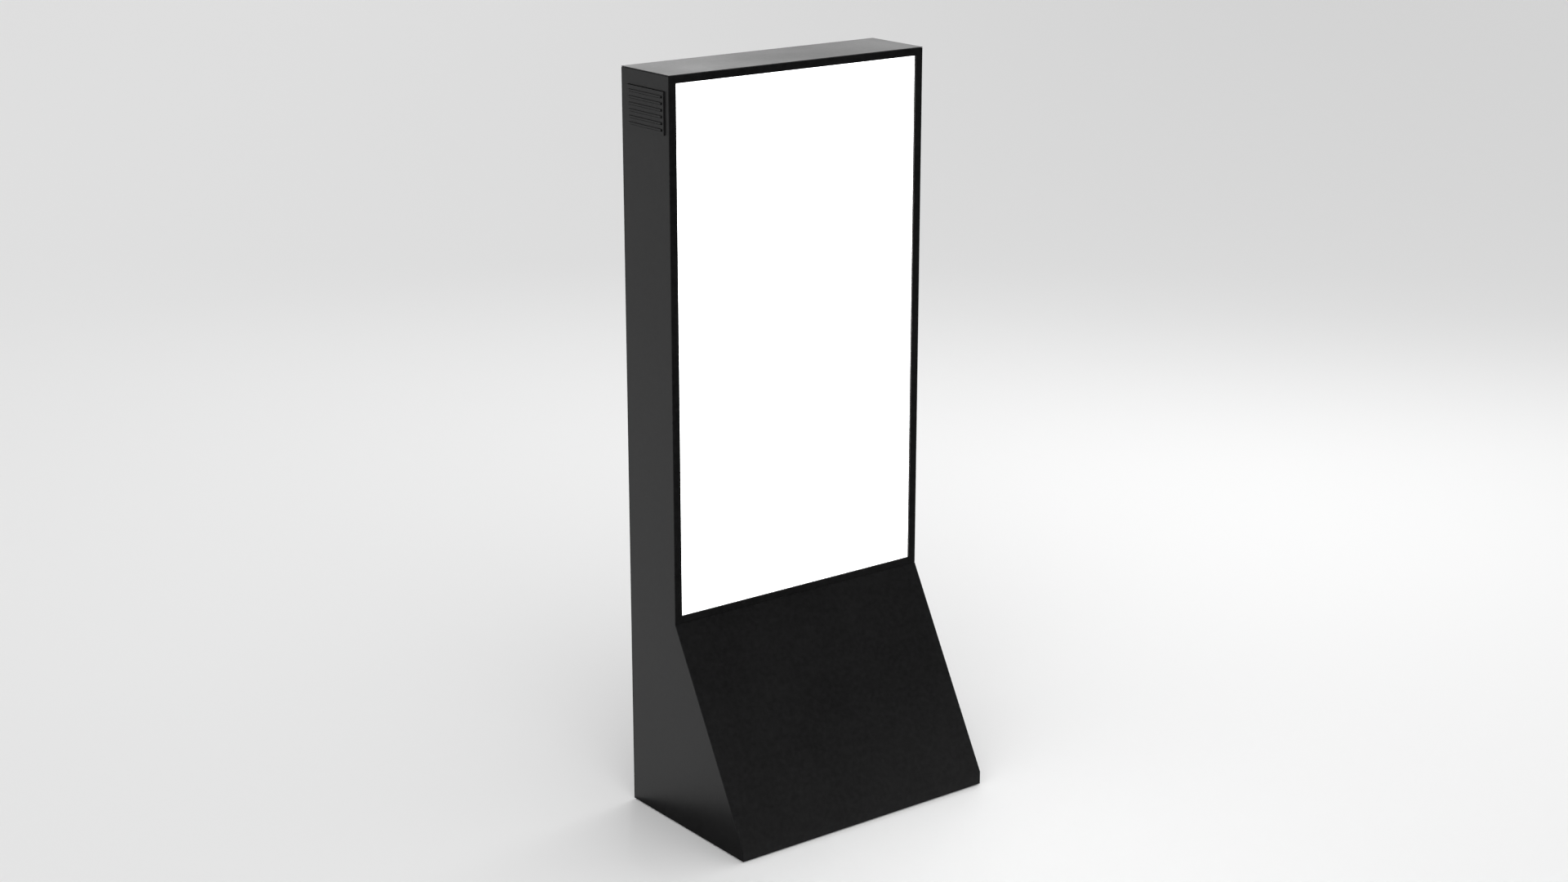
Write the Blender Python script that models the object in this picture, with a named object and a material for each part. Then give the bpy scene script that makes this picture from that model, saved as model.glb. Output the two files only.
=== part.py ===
"""A free-standing portrait touchscreen kiosk in folded sheet steel.

Metres, +Z up. The screen faces -Y and +X is on a visitor's right. The origin is on the floor under the
middle of the bounding box. Each sub-part is one closed solid, and each moving piece hangs from an empty
on its own joint axis.
"""

import math

import bmesh
import bpy
from mathutils import Matrix, Vector

# Driving dimensions of the cabinet
WIDTH = 0.720
HEIGHT = 1.776
CABINET_DEPTH = 0.184
TOE_PROJECTION = 0.259
TOE_HEIGHT = 0.0343
KINK_HEIGHT = 0.5035
SKIRT_HEIGHT = 0.003
SHEET = 0.002
SEAM = 0.0005
FLANGE = 0.010

# Screen opening and the layers behind it, as distances back from the front face
BEZEL = 0.0193
SILL = 0.018
TOUCH_FRAME_DEPTHS = (0.0024, 0.0054)
GLASS_DEPTHS = (0.0058, 0.0098)
GASKET_DEPTHS = (0.0101, 0.0113)
LCD_DEPTHS = (0.0117, 0.0166)
CHASSIS_DEPTHS = (0.0170, 0.0270)
RAIL_DEPTHS = (0.0274, 0.0574)
UPRIGHT_DEPTHS = (0.0578, 0.0878)
PLATE_DEPTHS = (0.0882, 0.0897)
EQUIPMENT_DEPTH = 0.0901

# Side vents
VENT_SIZE = (0.142, 0.096)
VENT_FROM_FRONT = 0.0175
VENT_FROM_TOP = 0.0375
VENT_RAISE = 0.0035
VENT_SHEET = 0.001
LOUVRE_COUNT = 6
LOUVRE_PITCH = 0.01465
LOUVRE_FIRST_TOP = 0.0462
LOUVRE_HEIGHT = 0.0050
LOUVRE_SLOPE = 0.0010
LOUVRE_RISE = 0.0022
LOUVRE_FROM_FRONT = 0.0255
LOUVRE_LENGTH = 0.125
LOUVRE_NOTCH = 0.0035

# Rear door, its pivots and its locks
DOOR_HALF_WIDTH = 0.325
DOOR_LOW = 0.150
DOOR_HIGH = 1.740
DOOR_GAP = 0.0025
DOOR_FLANGE = 0.018
JAMB_FLANGE = 0.024
JAMB_LIP = 0.010
LIP_END_X = 0.290
PIVOT_FROM_EDGE = 0.012
PIVOT_FROM_FACE = 0.006
PIVOT_RADIUS = 0.0025
PIN_HEAD_RADIUS = 0.0037
LOCK_FROM_EDGE = 0.024
LOCK_HEIGHTS = {"upper": 1.42, "lower": 0.45}
LOCK_RADIUS = 0.0095
LOCK_LENGTH = 0.0235
INTAKE_SLOT = (0.115, 0.006)
INTAKE_COLUMNS = (-0.070, 0.070)
INTAKE_ROWS = 6
INTAKE_PITCH = 0.014
INTAKE_LOW = 0.215

# Base, runners and feet
BASE_PLATE_LOW = 0.014
BASE_PLATE_THICK = 0.005
RUNNER_X = 0.290
RUNNER_SIZE = (0.050, 0.025)
FOOT_YS = {"front": -0.130, "rear": 0.170}
STEM_RADIUS = 0.005
STEM_CLEARANCE = 0.0006

# Fans
FAN_SIZE = 0.092
FAN_THICK = 0.025
FAN_FACE_X = 0.3505
FAN_BORE = 0.0435
BLADES = 7

# Mains inlet and network socket in the rear frame
INLET_CENTRE = (0.200, 0.090)
INLET_SIZE = (0.074, 0.030)
NETWORK_CENTRE = (0.110, 0.090)

CIRCLE = 24
HALF = WIDTH / 2
BACK_Y = (CABINET_DEPTH + TOE_PROJECTION) / 2
FRONT_Y = BACK_Y - CABINET_DEPTH
TOE_Y = -BACK_Y
INSIDE = HALF - SHEET - SEAM
SCREEN_HALF = HALF - BEZEL
SCREEN_LOW = KINK_HEIGHT + SILL
SCREEN_HIGH = HEIGHT - BEZEL
VENT_MIDDLE_Y = FRONT_Y + VENT_FROM_FRONT + VENT_SIZE[0] / 2
VENT_MIDDLE_Z = HEIGHT - VENT_FROM_TOP - VENT_SIZE[1] / 2
PIVOT_X = DOOR_HALF_WIDTH - PIVOT_FROM_EDGE
PIVOT_Y = BACK_Y - PIVOT_FROM_FACE
LOCK_X = -(DOOR_HALF_WIDTH - LOCK_FROM_EDGE)
RUNNER_TOP = BASE_PLATE_LOW + BASE_PLATE_THICK + 2 * SEAM + RUNNER_SIZE[1]

CABINET_OUTLINE = [
    Vector((BACK_Y, SKIRT_HEIGHT)),
    Vector((TOE_Y, SKIRT_HEIGHT)),
    Vector((TOE_Y, TOE_HEIGHT)),
    Vector((FRONT_Y, KINK_HEIGHT)),
    Vector((FRONT_Y, HEIGHT)),
    Vector((BACK_Y, HEIGHT)),
]

# Colour, roughness and metallic of each material
FINISHES = {
    "black_powder_coat": ((0.012, 0.012, 0.013), 0.42, 0.0),
    "zinc_plated_steel": ((0.55, 0.56, 0.58), 0.38, 1.0),
    "ballast_steel": ((0.10, 0.10, 0.11), 0.60, 0.8),
    "touch_glass": ((0.90, 0.93, 0.92), 0.03, 0.0),
    "lcd_panel": ((0.92, 0.93, 0.95), 0.25, 0.0),
    "light_guide": ((0.88, 0.90, 0.90), 0.20, 0.0),
    "black_plastic": ((0.020, 0.020, 0.022), 0.45, 0.0),
    "ir_filter": ((0.030, 0.010, 0.014), 0.08, 0.0),
    "black_rubber": ((0.018, 0.018, 0.018), 0.80, 0.0),
    "foam_filter": ((0.10, 0.10, 0.10), 0.95, 0.0),
    "circuit_board": ((0.02, 0.16, 0.07), 0.45, 0.0),
    "player_aluminium": ((0.45, 0.46, 0.48), 0.40, 1.0),
    "lock_chrome": ((0.70, 0.70, 0.72), 0.15, 1.0),
    "bush_brass": ((0.72, 0.55, 0.25), 0.30, 1.0),
}


def clear_scene():
    for old in list(bpy.data.objects):
        bpy.data.objects.remove(old)


def make_materials():
    made = {}
    for name, (colour, roughness, metallic) in FINISHES.items():
        material = bpy.data.materials.new(name)
        material.use_nodes = True
        shader = material.node_tree.nodes["Principled BSDF"]
        shader.inputs["Base Color"].default_value = (*colour, 1.0)
        shader.inputs["Roughness"].default_value = roughness
        shader.inputs["Metallic"].default_value = metallic
        material.diffuse_color = (*colour, 1.0)
        made[name] = material
    return made


# Shapes


def from_bmesh(name, bm, material, location=(0, 0, 0)):
    """A scene object of this mesh, with its faces turned outwards."""
    bmesh.ops.recalc_face_normals(bm, faces=bm.faces)
    mesh = bpy.data.meshes.new(name)
    bm.to_mesh(mesh)
    bm.free()
    mesh.materials.append(bpy.data.materials[material])
    made = bpy.data.objects.new(name, mesh)
    made.location = location
    bpy.context.scene.collection.objects.link(made)
    return made


def block(name, low, high, material="black_plastic"):
    """A box between two corners, with its origin in its middle."""
    low, high = Vector(low), Vector(high)
    bm = bmesh.new()
    bmesh.ops.create_cube(bm, size=1.0)
    bmesh.ops.scale(bm, vec=high - low, verts=bm.verts)
    return from_bmesh(name, bm, material, (low + high) / 2)


def side_prism(name, outline, left, right, material):
    """An outline in Y and Z, extruded along X."""
    bm = bmesh.new()
    face = bm.faces.new([bm.verts.new((left, y, z)) for y, z in outline])
    grown = bmesh.ops.extrude_face_region(bm, geom=[face])
    moved = [item for item in grown["geom"] if isinstance(item, bmesh.types.BMVert)]
    bmesh.ops.translate(bm, vec=(right - left, 0, 0), verts=moved)
    return from_bmesh(name, bm, material)


def turned(name, profile, location, axis="Z", material="black_plastic", segments=CIRCLE):
    """A profile of (radius, height) points turned round an axis, closed on itself when it stays off it."""
    bm = bmesh.new()
    rings = []
    for radius, height in profile:
        if radius == 0:
            rings.append([bm.verts.new((0, 0, height))])
            continue
        angles = [2 * math.pi * (step + 0.5) / segments for step in range(segments)]
        rings.append([bm.verts.new((radius * math.cos(a), radius * math.sin(a), height)) for a in angles])
    hollow = all(len(ring) > 1 for ring in rings)
    pairs = list(zip(rings, rings[1:]))
    if hollow:
        pairs.append((rings[-1], rings[0]))
    for first, second in pairs:
        join_rings(bm, first, second)
    made = from_bmesh(name, bm, material, location)
    made.data.shade_smooth()
    made.data.set_sharp_from_angle(angle=math.radians(35))
    if axis == "X":
        made.rotation_euler = (0, math.pi / 2, 0)
    if axis == "Y":
        made.rotation_euler = (-math.pi / 2, 0, 0)
    return made


def join_rings(bm, first, second):
    count = max(len(first), len(second))
    for step in range(count):
        corners = [
            first[step % len(first)],
            first[(step + 1) % len(first)],
            second[(step + 1) % len(second)],
            second[step % len(second)],
        ]
        bm.faces.new(list(dict.fromkeys(corners)))


def rod(radius, low, high):
    """The profile of a plain cylinder."""
    return [(0, low), (radius, low), (radius, high), (0, high)]


def combine(target, tool, operation):
    """Cuts a helper object from the target or joins it on, and hides the helper."""
    tool.hide_render = True
    tool.display_type = "WIRE"
    modifier = target.modifiers.new(tool.name, "BOOLEAN")
    modifier.operation = operation
    modifier.solver = "EXACT"
    modifier.object = tool


def cut(target, tool):
    combine(target, tool, "DIFFERENCE")


def add(target, tool):
    combine(target, tool, "UNION")


def attach(parent, *children):
    """Parents objects to an empty and keeps them where they are."""
    for child in children:
        child.parent = parent
        child.location = child.location - parent.location


def empty(name, location=(0, 0, 0)):
    made = bpy.data.objects.new(name, None)
    made.location = location
    bpy.context.scene.collection.objects.link(made)
    return made


def inset(outline, distance):
    """The closed outline moved inwards by one distance on every side."""
    moved = []
    for index, point in enumerate(outline):
        before = (point - outline[index - 1]).normalized()
        after = (outline[(index + 1) % len(outline)] - point).normalized()
        normals = [Vector((side.y, -side.x)) for side in (before, after)]
        middle = (normals[0] + normals[1]).normalized()
        moved.append(point + middle * distance / middle.dot(normals[0]))
    return moved


def depth_block(name, half_width, low, high, depths, material):
    """A box as wide as the screen layers are, between two distances behind the front face."""
    return block(
        name,
        (-half_width, FRONT_Y + depths[0], low),
        (half_width, FRONT_Y + depths[1], high),
        material,
    )


# Cabinet panels


def side_panel(side, sign):
    outline = inset(CABINET_OUTLINE, SHEET + SEAM)
    for corner in outline[:2]:
        corner.y = SKIRT_HEIGHT
    name = f"{side}_side_panel"
    panel = side_prism(name, outline, sign * HALF, sign * (HALF - SHEET), "black_powder_coat")
    window_y, window_z = VENT_SIZE[0] / 2 + SEAM, VENT_SIZE[1] / 2 + SEAM
    window = block(
        f"{side}_vent_window",
        (sign * HALF - 0.010, VENT_MIDDLE_Y - window_y, VENT_MIDDLE_Z - window_z),
        (sign * HALF + 0.010, VENT_MIDDLE_Y + window_y, VENT_MIDDLE_Z + window_z),
    )
    cut(panel, window)
    return panel


def top_cover():
    """A flat lid over the whole cabinet, with flanges down inside the sides and the back."""
    flange_height = 0.018
    front = FRONT_Y + LCD_DEPTHS[1] + 0.014
    back = BACK_Y - SHEET - FLANGE - 2 * SEAM
    cover = block("top_cover", (-HALF, FRONT_Y, HEIGHT - SHEET), (HALF, BACK_Y, HEIGHT), "black_powder_coat")
    top_flanges = block(
        "top_flanges", (-INSIDE, front, HEIGHT - flange_height), (INSIDE, back, HEIGHT - SHEET / 2),
    )
    add(cover, top_flanges)
    cut(
        cover,
        block(
            "top_hollow",
            (-INSIDE + SHEET, front - 0.010, HEIGHT - flange_height - 0.010),
            (INSIDE - SHEET, back - SHEET, HEIGHT - SHEET),
        ),
    )
    return cover


def front_bezel():
    """The frame of sheet round the screen, with a flange folded back at its edges."""
    low = KINK_HEIGHT + SEAM
    high = HEIGHT - SHEET - SEAM
    back = FRONT_Y + FLANGE
    bezel = block("front_bezel", (-HALF, FRONT_Y, low), (HALF, FRONT_Y + SHEET, high), "black_powder_coat")
    add(bezel, block("bezel_flanges", (-INSIDE, FRONT_Y + SHEET / 2, low), (INSIDE, back, high - SEAM)))
    cut(
        bezel,
        block(
            "bezel_hollow",
            (-INSIDE + SHEET, FRONT_Y + SHEET, low + SHEET),
            (INSIDE - SHEET, back + SHEET, high - SEAM - SHEET),
        ),
    )
    bezel_opening = depth_block(
        "bezel_opening", SCREEN_HALF, SCREEN_LOW, SCREEN_HIGH, (-0.010, 0.020), "black_plastic",
    )
    cut(bezel, bezel_opening)
    return bezel


def slope_panel():
    """One sheet folded at the toe and turned in along the floor and under the bezel."""
    kink = Vector((FRONT_Y, KINK_HEIGHT))
    path = [
        Vector((FRONT_Y + FLANGE, KINK_HEIGHT)),
        kink,
        Vector((TOE_Y, TOE_HEIGHT)),
        Vector((TOE_Y, SKIRT_HEIGHT)),
        Vector((TOE_Y + FLANGE, SKIRT_HEIGHT)),
    ]
    sides = [(end - start).normalized() for start, end in zip(path, path[1:])]
    normals = [Vector((-side.y, side.x)) for side in sides]
    inner = []
    for index, point in enumerate(path):
        before = normals[max(index - 1, 0)]
        after = normals[min(index, len(normals) - 1)]
        middle = (before + after).normalized()
        inner.append(point + middle * SHEET / middle.dot(after))
    panel = side_prism("front_slope_panel", path + inner[::-1], -HALF, HALF, "black_powder_coat")
    behind = inset(CABINET_OUTLINE, SHEET + SEAM / 2)
    for corner in behind[:2]:
        corner.y = 0.0
    for side, sign in (("left", -1), ("right", 1)):
        xs = (sign * INSIDE, sign * (HALF + 0.010))
        cut(panel, side_prism(f"slope_flange_notch_{side}", behind, *xs, "black_powder_coat"))
    return panel


def base_plate():
    plate = block(
        "base_plate",
        (-INSIDE, TOE_Y + SHEET + SEAM, BASE_PLATE_LOW),
        (INSIDE, BACK_Y - SHEET - FLANGE - 2 * SEAM, BASE_PLATE_LOW + BASE_PLATE_THICK),
        "zinc_plated_steel",
    )
    for label, x, y in foot_places():
        radius = STEM_RADIUS + STEM_CLEARANCE
        cut(plate, turned(f"plate_hole_{label}", rod(radius, -0.02, 0.02), (x, y, BASE_PLATE_LOW)))
    return plate


def foot_places():
    for place, y in FOOT_YS.items():
        yield f"{place}_left", -RUNNER_X, y
        yield f"{place}_right", RUNNER_X, y


def base_runner(side, sign):
    """A channel, open below, that stiffens the base plate and carries an upright and two feet."""
    half = RUNNER_SIZE[0] / 2
    wall = 0.003
    low = RUNNER_TOP - RUNNER_SIZE[1]
    ends = (FOOT_YS["front"] - 0.030, FOOT_YS["rear"] + 0.030)
    middle = sign * RUNNER_X
    name = f"base_runner_{side}"
    runner = block(
        name, (middle - half, ends[0], low), (middle + half, ends[1], RUNNER_TOP), "zinc_plated_steel",
    )
    cut(
        runner,
        block(
            f"runner_hollow_{side}",
            (middle - half + wall, ends[0] - 0.010, low - 0.010),
            (middle + half - wall, ends[1] + 0.010, RUNNER_TOP - wall),
        ),
    )
    for place, y in FOOT_YS.items():
        radius = STEM_RADIUS + STEM_CLEARANCE
        cut(runner, turned(f"runner_hole_{place}_{side}", rod(radius, -0.02, 0.02), (middle, y, RUNNER_TOP)))
    return runner


def ballast_block():
    """A steel weight low in the toe, which keeps the tall cabinet from tipping."""
    low = BASE_PLATE_LOW + BASE_PLATE_THICK + SEAM
    return block("ballast_block", (-0.220, -0.150, low), (0.220, -0.020, low + 0.030), "ballast_steel")


# Vents and fans


def vent_grille(side, sign):
    """A pressed insert with louvre hoods, raised a little through the window in the panel."""
    rim_outside = HALF - SHEET - SEAM
    rim = 0.006
    half_y, half_z = VENT_SIZE[0] / 2, VENT_SIZE[1] / 2

    def slab(name, far, near, margin):
        """A box between two distances from the middle of the kiosk, larger than the tray by a margin."""
        xs = sorted((sign * far, sign * near))
        return block(
            name,
            (xs[0], VENT_MIDDLE_Y - half_y - margin, VENT_MIDDLE_Z - half_z - margin),
            (xs[1], VENT_MIDDLE_Y + half_y + margin, VENT_MIDDLE_Z + half_z + margin),
            "black_powder_coat",
        )

    face = HALF + VENT_RAISE
    grille = slab(f"vent_grille_{side}", rim_outside - VENT_SHEET, rim_outside, rim)
    add(grille, slab(f"vent_tray_{side}", rim_outside - VENT_SHEET / 2, face, 0.0))
    cut(grille, slab(f"vent_tray_hollow_{side}", rim_outside - 0.010, face - VENT_SHEET, -VENT_SHEET))
    for index in range(LOUVRE_COUNT):
        top = HEIGHT - LOUVRE_FIRST_TOP - index * LOUVRE_PITCH
        add(grille, louvre_hood(f"louvre_{side}_{index}", sign, top))
        cut(grille, louvre_mouth(f"louvre_mouth_{side}_{index}", sign, top))
    return grille


def louvre_prism(name, sign, section, front, length):
    """A louvre section, in distance outwards from the tray's face and height, extruded along Y."""
    face = HALF + VENT_RAISE
    bm = bmesh.new()
    outline = bm.faces.new([bm.verts.new((sign * (face + outwards), front, z)) for outwards, z in section])
    grown = bmesh.ops.extrude_face_region(bm, geom=[outline])
    moved = [item for item in grown["geom"] if isinstance(item, bmesh.types.BMVert)]
    bmesh.ops.translate(bm, vec=(0, length, 0), verts=moved)
    return from_bmesh(name, bm, "black_powder_coat")


def louvre_hood(name, sign, top):
    root = -VENT_SHEET / 2
    low = top - LOUVRE_HEIGHT
    section = [(root, top), (LOUVRE_RISE, top - LOUVRE_SLOPE), (LOUVRE_RISE, low), (root, low)]
    return louvre_prism(name, sign, section, FRONT_Y + LOUVRE_FROM_FRONT, LOUVRE_LENGTH)


def louvre_mouth(name, sign, top):
    """The space under a hood, through the tray's face, from a notch ahead of the hood's open front end."""
    inside = -3 * VENT_SHEET
    roof = top - 1.2 * VENT_SHEET
    low = top - LOUVRE_HEIGHT - 1.4 * VENT_SHEET
    lip = LOUVRE_RISE - 1.1 * VENT_SHEET
    section = [
        (inside, roof),
        (-0.3 * VENT_SHEET, roof),
        (lip, top - LOUVRE_SLOPE - 0.9 * VENT_SHEET),
        (lip, low),
        (inside, low),
    ]
    front = FRONT_Y + LOUVRE_FROM_FRONT - LOUVRE_NOTCH
    return louvre_prism(name, sign, section, front, LOUVRE_LENGTH + LOUVRE_NOTCH - VENT_SHEET)


def fan_housing(side, sign):
    """A square frame with a round bore and a motor seat held by four struts at its inner face."""
    half = FAN_SIZE / 2
    xs = sorted((sign * FAN_FACE_X, sign * (FAN_FACE_X - FAN_THICK)))
    housing = block(
        f"fan_housing_{side}",
        (xs[0], VENT_MIDDLE_Y - half, VENT_MIDDLE_Z - half),
        (xs[1], VENT_MIDDLE_Y + half, VENT_MIDDLE_Z + half),
    )
    middle = Vector((sum(xs) / 2, VENT_MIDDLE_Y, VENT_MIDDLE_Z))
    cut(housing, turned(f"fan_bore_{side}", rod(FAN_BORE, -0.02, 0.02), middle, "X", segments=2 * CIRCLE))
    strut = 0.003
    inner = sorted((sign * (FAN_FACE_X - FAN_THICK), sign * (FAN_FACE_X - FAN_THICK + strut)))
    for label, half_y, half_z in (("level", half - 0.001, strut), ("upright", strut, half - 0.001)):
        add(
            housing,
            block(
                f"fan_strut_{label}_{side}",
                (inner[0], middle.y - half_y, middle.z - half_z),
                (inner[1], middle.y + half_y, middle.z + half_z),
            ),
        )
    seat = Vector((sum(inner) / 2, middle.y, middle.z))
    add(housing, turned(f"fan_seat_{side}", rod(0.019, -strut / 2, strut / 2), seat, "X"))
    return housing


def fan_rotor(side, sign):
    """A hub on the fan's axis with pitched blades, its own origin on that axis."""
    hub_radius = 0.018
    hub_half = 0.009
    blade_reach = FAN_BORE - 0.0022
    middle = Vector((sign * (FAN_FACE_X - FAN_THICK / 2 + 0.001), VENT_MIDDLE_Y, VENT_MIDDLE_Z))
    rotor = turned(f"fan_rotor_{side}", rod(hub_radius, -hub_half, hub_half), middle, "X")
    for index in range(BLADES):
        bm = bmesh.new()
        bmesh.ops.create_cube(bm, size=1.0)
        bmesh.ops.scale(bm, vec=(0.0016, 0.019, blade_reach - hub_radius + 0.004), verts=bm.verts)
        bmesh.ops.rotate(bm, matrix=Matrix.Rotation(math.radians(52), 3, "Z"), verts=bm.verts)
        lift = (blade_reach + hub_radius - 0.004) / 2
        bmesh.ops.translate(bm, vec=(0, 0, lift), verts=bm.verts)
        turn = Matrix.Rotation(2 * math.pi * index / BLADES, 3, "X")
        bmesh.ops.rotate(bm, matrix=turn, verts=bm.verts)
        add(rotor, from_bmesh(f"blade_{side}_{index}", bm, "black_plastic", middle))
    return rotor


# Display


def ring(name, outer, inner, depths, material):
    """A flat frame behind the bezel, from its outer and inner (half width, low, high)."""
    frame = depth_block(name, *outer, depths, material)
    cut(frame, depth_block(f"{name}_opening", *inner, (depths[0] - 0.01, depths[1] + 0.01), material))
    return frame


def display_stack():
    outer = (0.3520, SCREEN_LOW - 0.0140, SCREEN_HIGH + 0.0125)
    opening = (SCREEN_HALF, SCREEN_LOW, SCREEN_HIGH)
    seen = (SCREEN_HALF + 0.0025, SCREEN_LOW - 0.0025, SCREEN_HIGH + 0.0025)
    panel = (0.3490, SCREEN_LOW - 0.0120, SCREEN_HIGH + 0.0100)
    chassis_wall = 0.0015
    tray = depth_block("display_chassis", *panel, CHASSIS_DEPTHS, "zinc_plated_steel")
    well = (panel[0] - chassis_wall, panel[1] + chassis_wall, panel[2] - chassis_wall)
    well_depths = (CHASSIS_DEPTHS[0] - 0.010, CHASSIS_DEPTHS[1] - chassis_wall)
    cut(tray, depth_block("chassis_well", *well, well_depths, "zinc_plated_steel"))
    guide = (well[0] - SEAM, well[1] + SEAM, well[2] - SEAM)
    guide_depths = (CHASSIS_DEPTHS[0] + SEAM, well_depths[1] - SEAM)
    return [
        ring("touch_frame", outer, opening, TOUCH_FRAME_DEPTHS, "ir_filter"),
        depth_block("touch_glass", *outer, GLASS_DEPTHS, "touch_glass"),
        ring("glass_gasket", panel, seen, GASKET_DEPTHS, "black_rubber"),
        depth_block("lcd_panel", *panel, LCD_DEPTHS, "lcd_panel"),
        tray,
        depth_block("light_guide", *guide, guide_depths, "light_guide"),
    ]


def circuit_board(name, low, high, chips):
    """A board on four standoffs behind the display chassis, with its tall components as blocks."""
    face = FRONT_Y + CHASSIS_DEPTHS[1] + SEAM
    board_y = face + 0.007
    thick = 0.0016
    board = block(name, (low[0], board_y, low[1]), (high[0], board_y + thick, high[1]), "circuit_board")
    margin = 0.006
    for index, (x, z) in enumerate(
        (x, z) for x in (low[0] + margin, high[0] - margin) for z in (low[1] + margin, high[1] - margin)
    ):
        post = rod(0.003, -0.0035, 0.0045)
        add(board, turned(f"{name}_post_{index}", post, (x, face + 0.0035, z), "Y", segments=8))
    for index, (x, z, width, height, rise) in enumerate(chips):
        corner = (x - width / 2, board_y + thick / 2, z - height / 2)
        far = (x + width / 2, board_y + thick + rise, z + height / 2)
        add(board, block(f"{name}_chip_{index}", corner, far))
    return board


def boards():
    display_chips = [(0.0, 1.170, 0.050, 0.050, 0.008), (-0.085, 1.210, 0.030, 0.040, 0.012)]
    display_chips += [(x, 1.0565, 0.022, 0.012, 0.010) for x in (-0.060, 0.060)]
    touch_chips = [(-0.180, 1.090, 0.016, 0.016, 0.002), (-0.180, 1.0555, 0.014, 0.010, 0.006)]
    return [
        circuit_board("display_board", (-0.120, 1.050), (0.120, 1.250), display_chips),
        circuit_board("touch_board", (-0.220, 1.050), (-0.140, 1.120), touch_chips),
    ]


# Inner frame and service equipment


def frame_upright(side, sign):
    """A channel that stands on a runner and opens towards the middle of the kiosk."""
    half = 0.015
    xs = (sign * RUNNER_X - half, sign * RUNNER_X + half)
    ys = (FRONT_Y + UPRIGHT_DEPTHS[0], FRONT_Y + UPRIGHT_DEPTHS[1])
    low, high = RUNNER_TOP + SEAM, HEIGHT - 0.060
    name = f"frame_upright_{side}"
    upright = block(name, (xs[0], ys[0], low), (xs[1], ys[1], high), "zinc_plated_steel")
    shift = -sign * 0.010
    cut(
        upright,
        block(
            f"upright_hollow_{side}",
            (xs[0] + SHEET + min(shift, 0), ys[0] + SHEET, low - 0.010),
            (xs[1] - SHEET + max(shift, 0), ys[1] - SHEET, high + 0.010),
        ),
    )
    return upright


def cross_rail(place, height):
    """A channel across both uprights that the display chassis hangs on."""
    half_height = 0.025
    depths = RAIL_DEPTHS
    name = f"cross_rail_{place}"
    rail = depth_block(name, 0.305, height - half_height, height + half_height, depths, "zinc_plated_steel")
    cut(
        rail,
        depth_block(
            f"rail_hollow_{place}",
            0.320,
            height - half_height + SHEET,
            height + half_height - SHEET,
            (depths[0] + SHEET, depths[1] + 0.010),
            "zinc_plated_steel",
        ),
    )
    return rail


def equipment():
    face = FRONT_Y + EQUIPMENT_DEPTH
    player = block("media_player", (-0.220, face, 0.780), (-0.020, face + 0.036, 0.960), "player_aluminium")
    for index in range(9):
        x = -0.200 + index * 0.020
        fin_gap = (x - 0.004, face + 0.030, 0.770)
        cut(player, block(f"player_fin_gap_{index}", fin_gap, (x + 0.004, face + 0.040, 0.970)))
    return [
        depth_block("equipment_plate", 0.303, 0.560, 1.000, PLATE_DEPTHS, "zinc_plated_steel"),
        player,
        block("power_supply", (0.050, face, 0.790), (0.250, face + 0.032, 0.900), "player_aluminium"),
    ]


# Rear frame and door


def rear_frame():
    """The fixed surround of the door: a flange outside, a deeper jamb inside, and the sockets' holes."""
    high = HEIGHT - SHEET - SEAM
    face = BACK_Y - SHEET
    frame = block("rear_frame", (-HALF, face, SKIRT_HEIGHT), (HALF, BACK_Y, high), "black_powder_coat")
    top = high - SEAM
    back = BACK_Y - SHEET / 2
    add(frame, block("rear_flanges", (-INSIDE, face - FLANGE, SKIRT_HEIGHT), (INSIDE, back, top)))
    rim_low = (-INSIDE + SHEET, face - 2 * FLANGE, SKIRT_HEIGHT + SHEET)
    cut(frame, block("rear_hollow", rim_low, (INSIDE - SHEET, face, top - SHEET)))
    gap = DOOR_GAP
    jamb_x = DOOR_HALF_WIDTH + gap + SHEET
    jamb_low = DOOR_LOW - gap - SHEET
    jamb_high = DOOR_HIGH + gap + SHEET
    jamb = block("rear_jamb", (-jamb_x, BACK_Y - JAMB_FLANGE, jamb_low), (jamb_x, back, jamb_high))
    add(frame, jamb)
    doorway_low = (-DOOR_HALF_WIDTH - gap, BACK_Y - JAMB_FLANGE + SHEET, DOOR_LOW - gap)
    doorway_high = (DOOR_HALF_WIDTH + gap, BACK_Y + 0.010, DOOR_HIGH + gap)
    cut(frame, block("doorway", doorway_low, doorway_high))
    past_lip = BACK_Y - JAMB_FLANGE - 0.010
    lip_low = (JAMB_LIP - DOOR_HALF_WIDTH, past_lip, DOOR_LOW + JAMB_LIP)
    cut(frame, block("lip_opening", lip_low, (LIP_END_X + 0.010, BACK_Y, DOOR_HIGH - JAMB_LIP)))
    cut(frame, block("lip_hinge_gap", (LIP_END_X, past_lip, doorway_low[2]), doorway_high))
    for label, z in (("upper", DOOR_HIGH), ("lower", DOOR_LOW)):
        hole = rod(PIVOT_RADIUS + 0.0006, -0.010, 0.010)
        cut(frame, turned(f"jamb_hole_{label}", hole, (PIVOT_X, PIVOT_Y, z)))
    cut(frame, wall_hole("inlet_hole", INLET_CENTRE, (INLET_SIZE[0] - 0.012, INLET_SIZE[1] - 0.006)))
    cut(frame, wall_hole("network_hole", NETWORK_CENTRE, (0.020, 0.024)))
    return frame


def wall_hole(name, centre, size):
    """A cutter through the rear wall round a point given as X and Z."""
    return block(
        name,
        (centre[0] - size[0] / 2, BACK_Y - 0.020, centre[1] - size[1] / 2),
        (centre[0] + size[0] / 2, BACK_Y + 0.020, centre[1] + size[1] / 2),
    )


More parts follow.
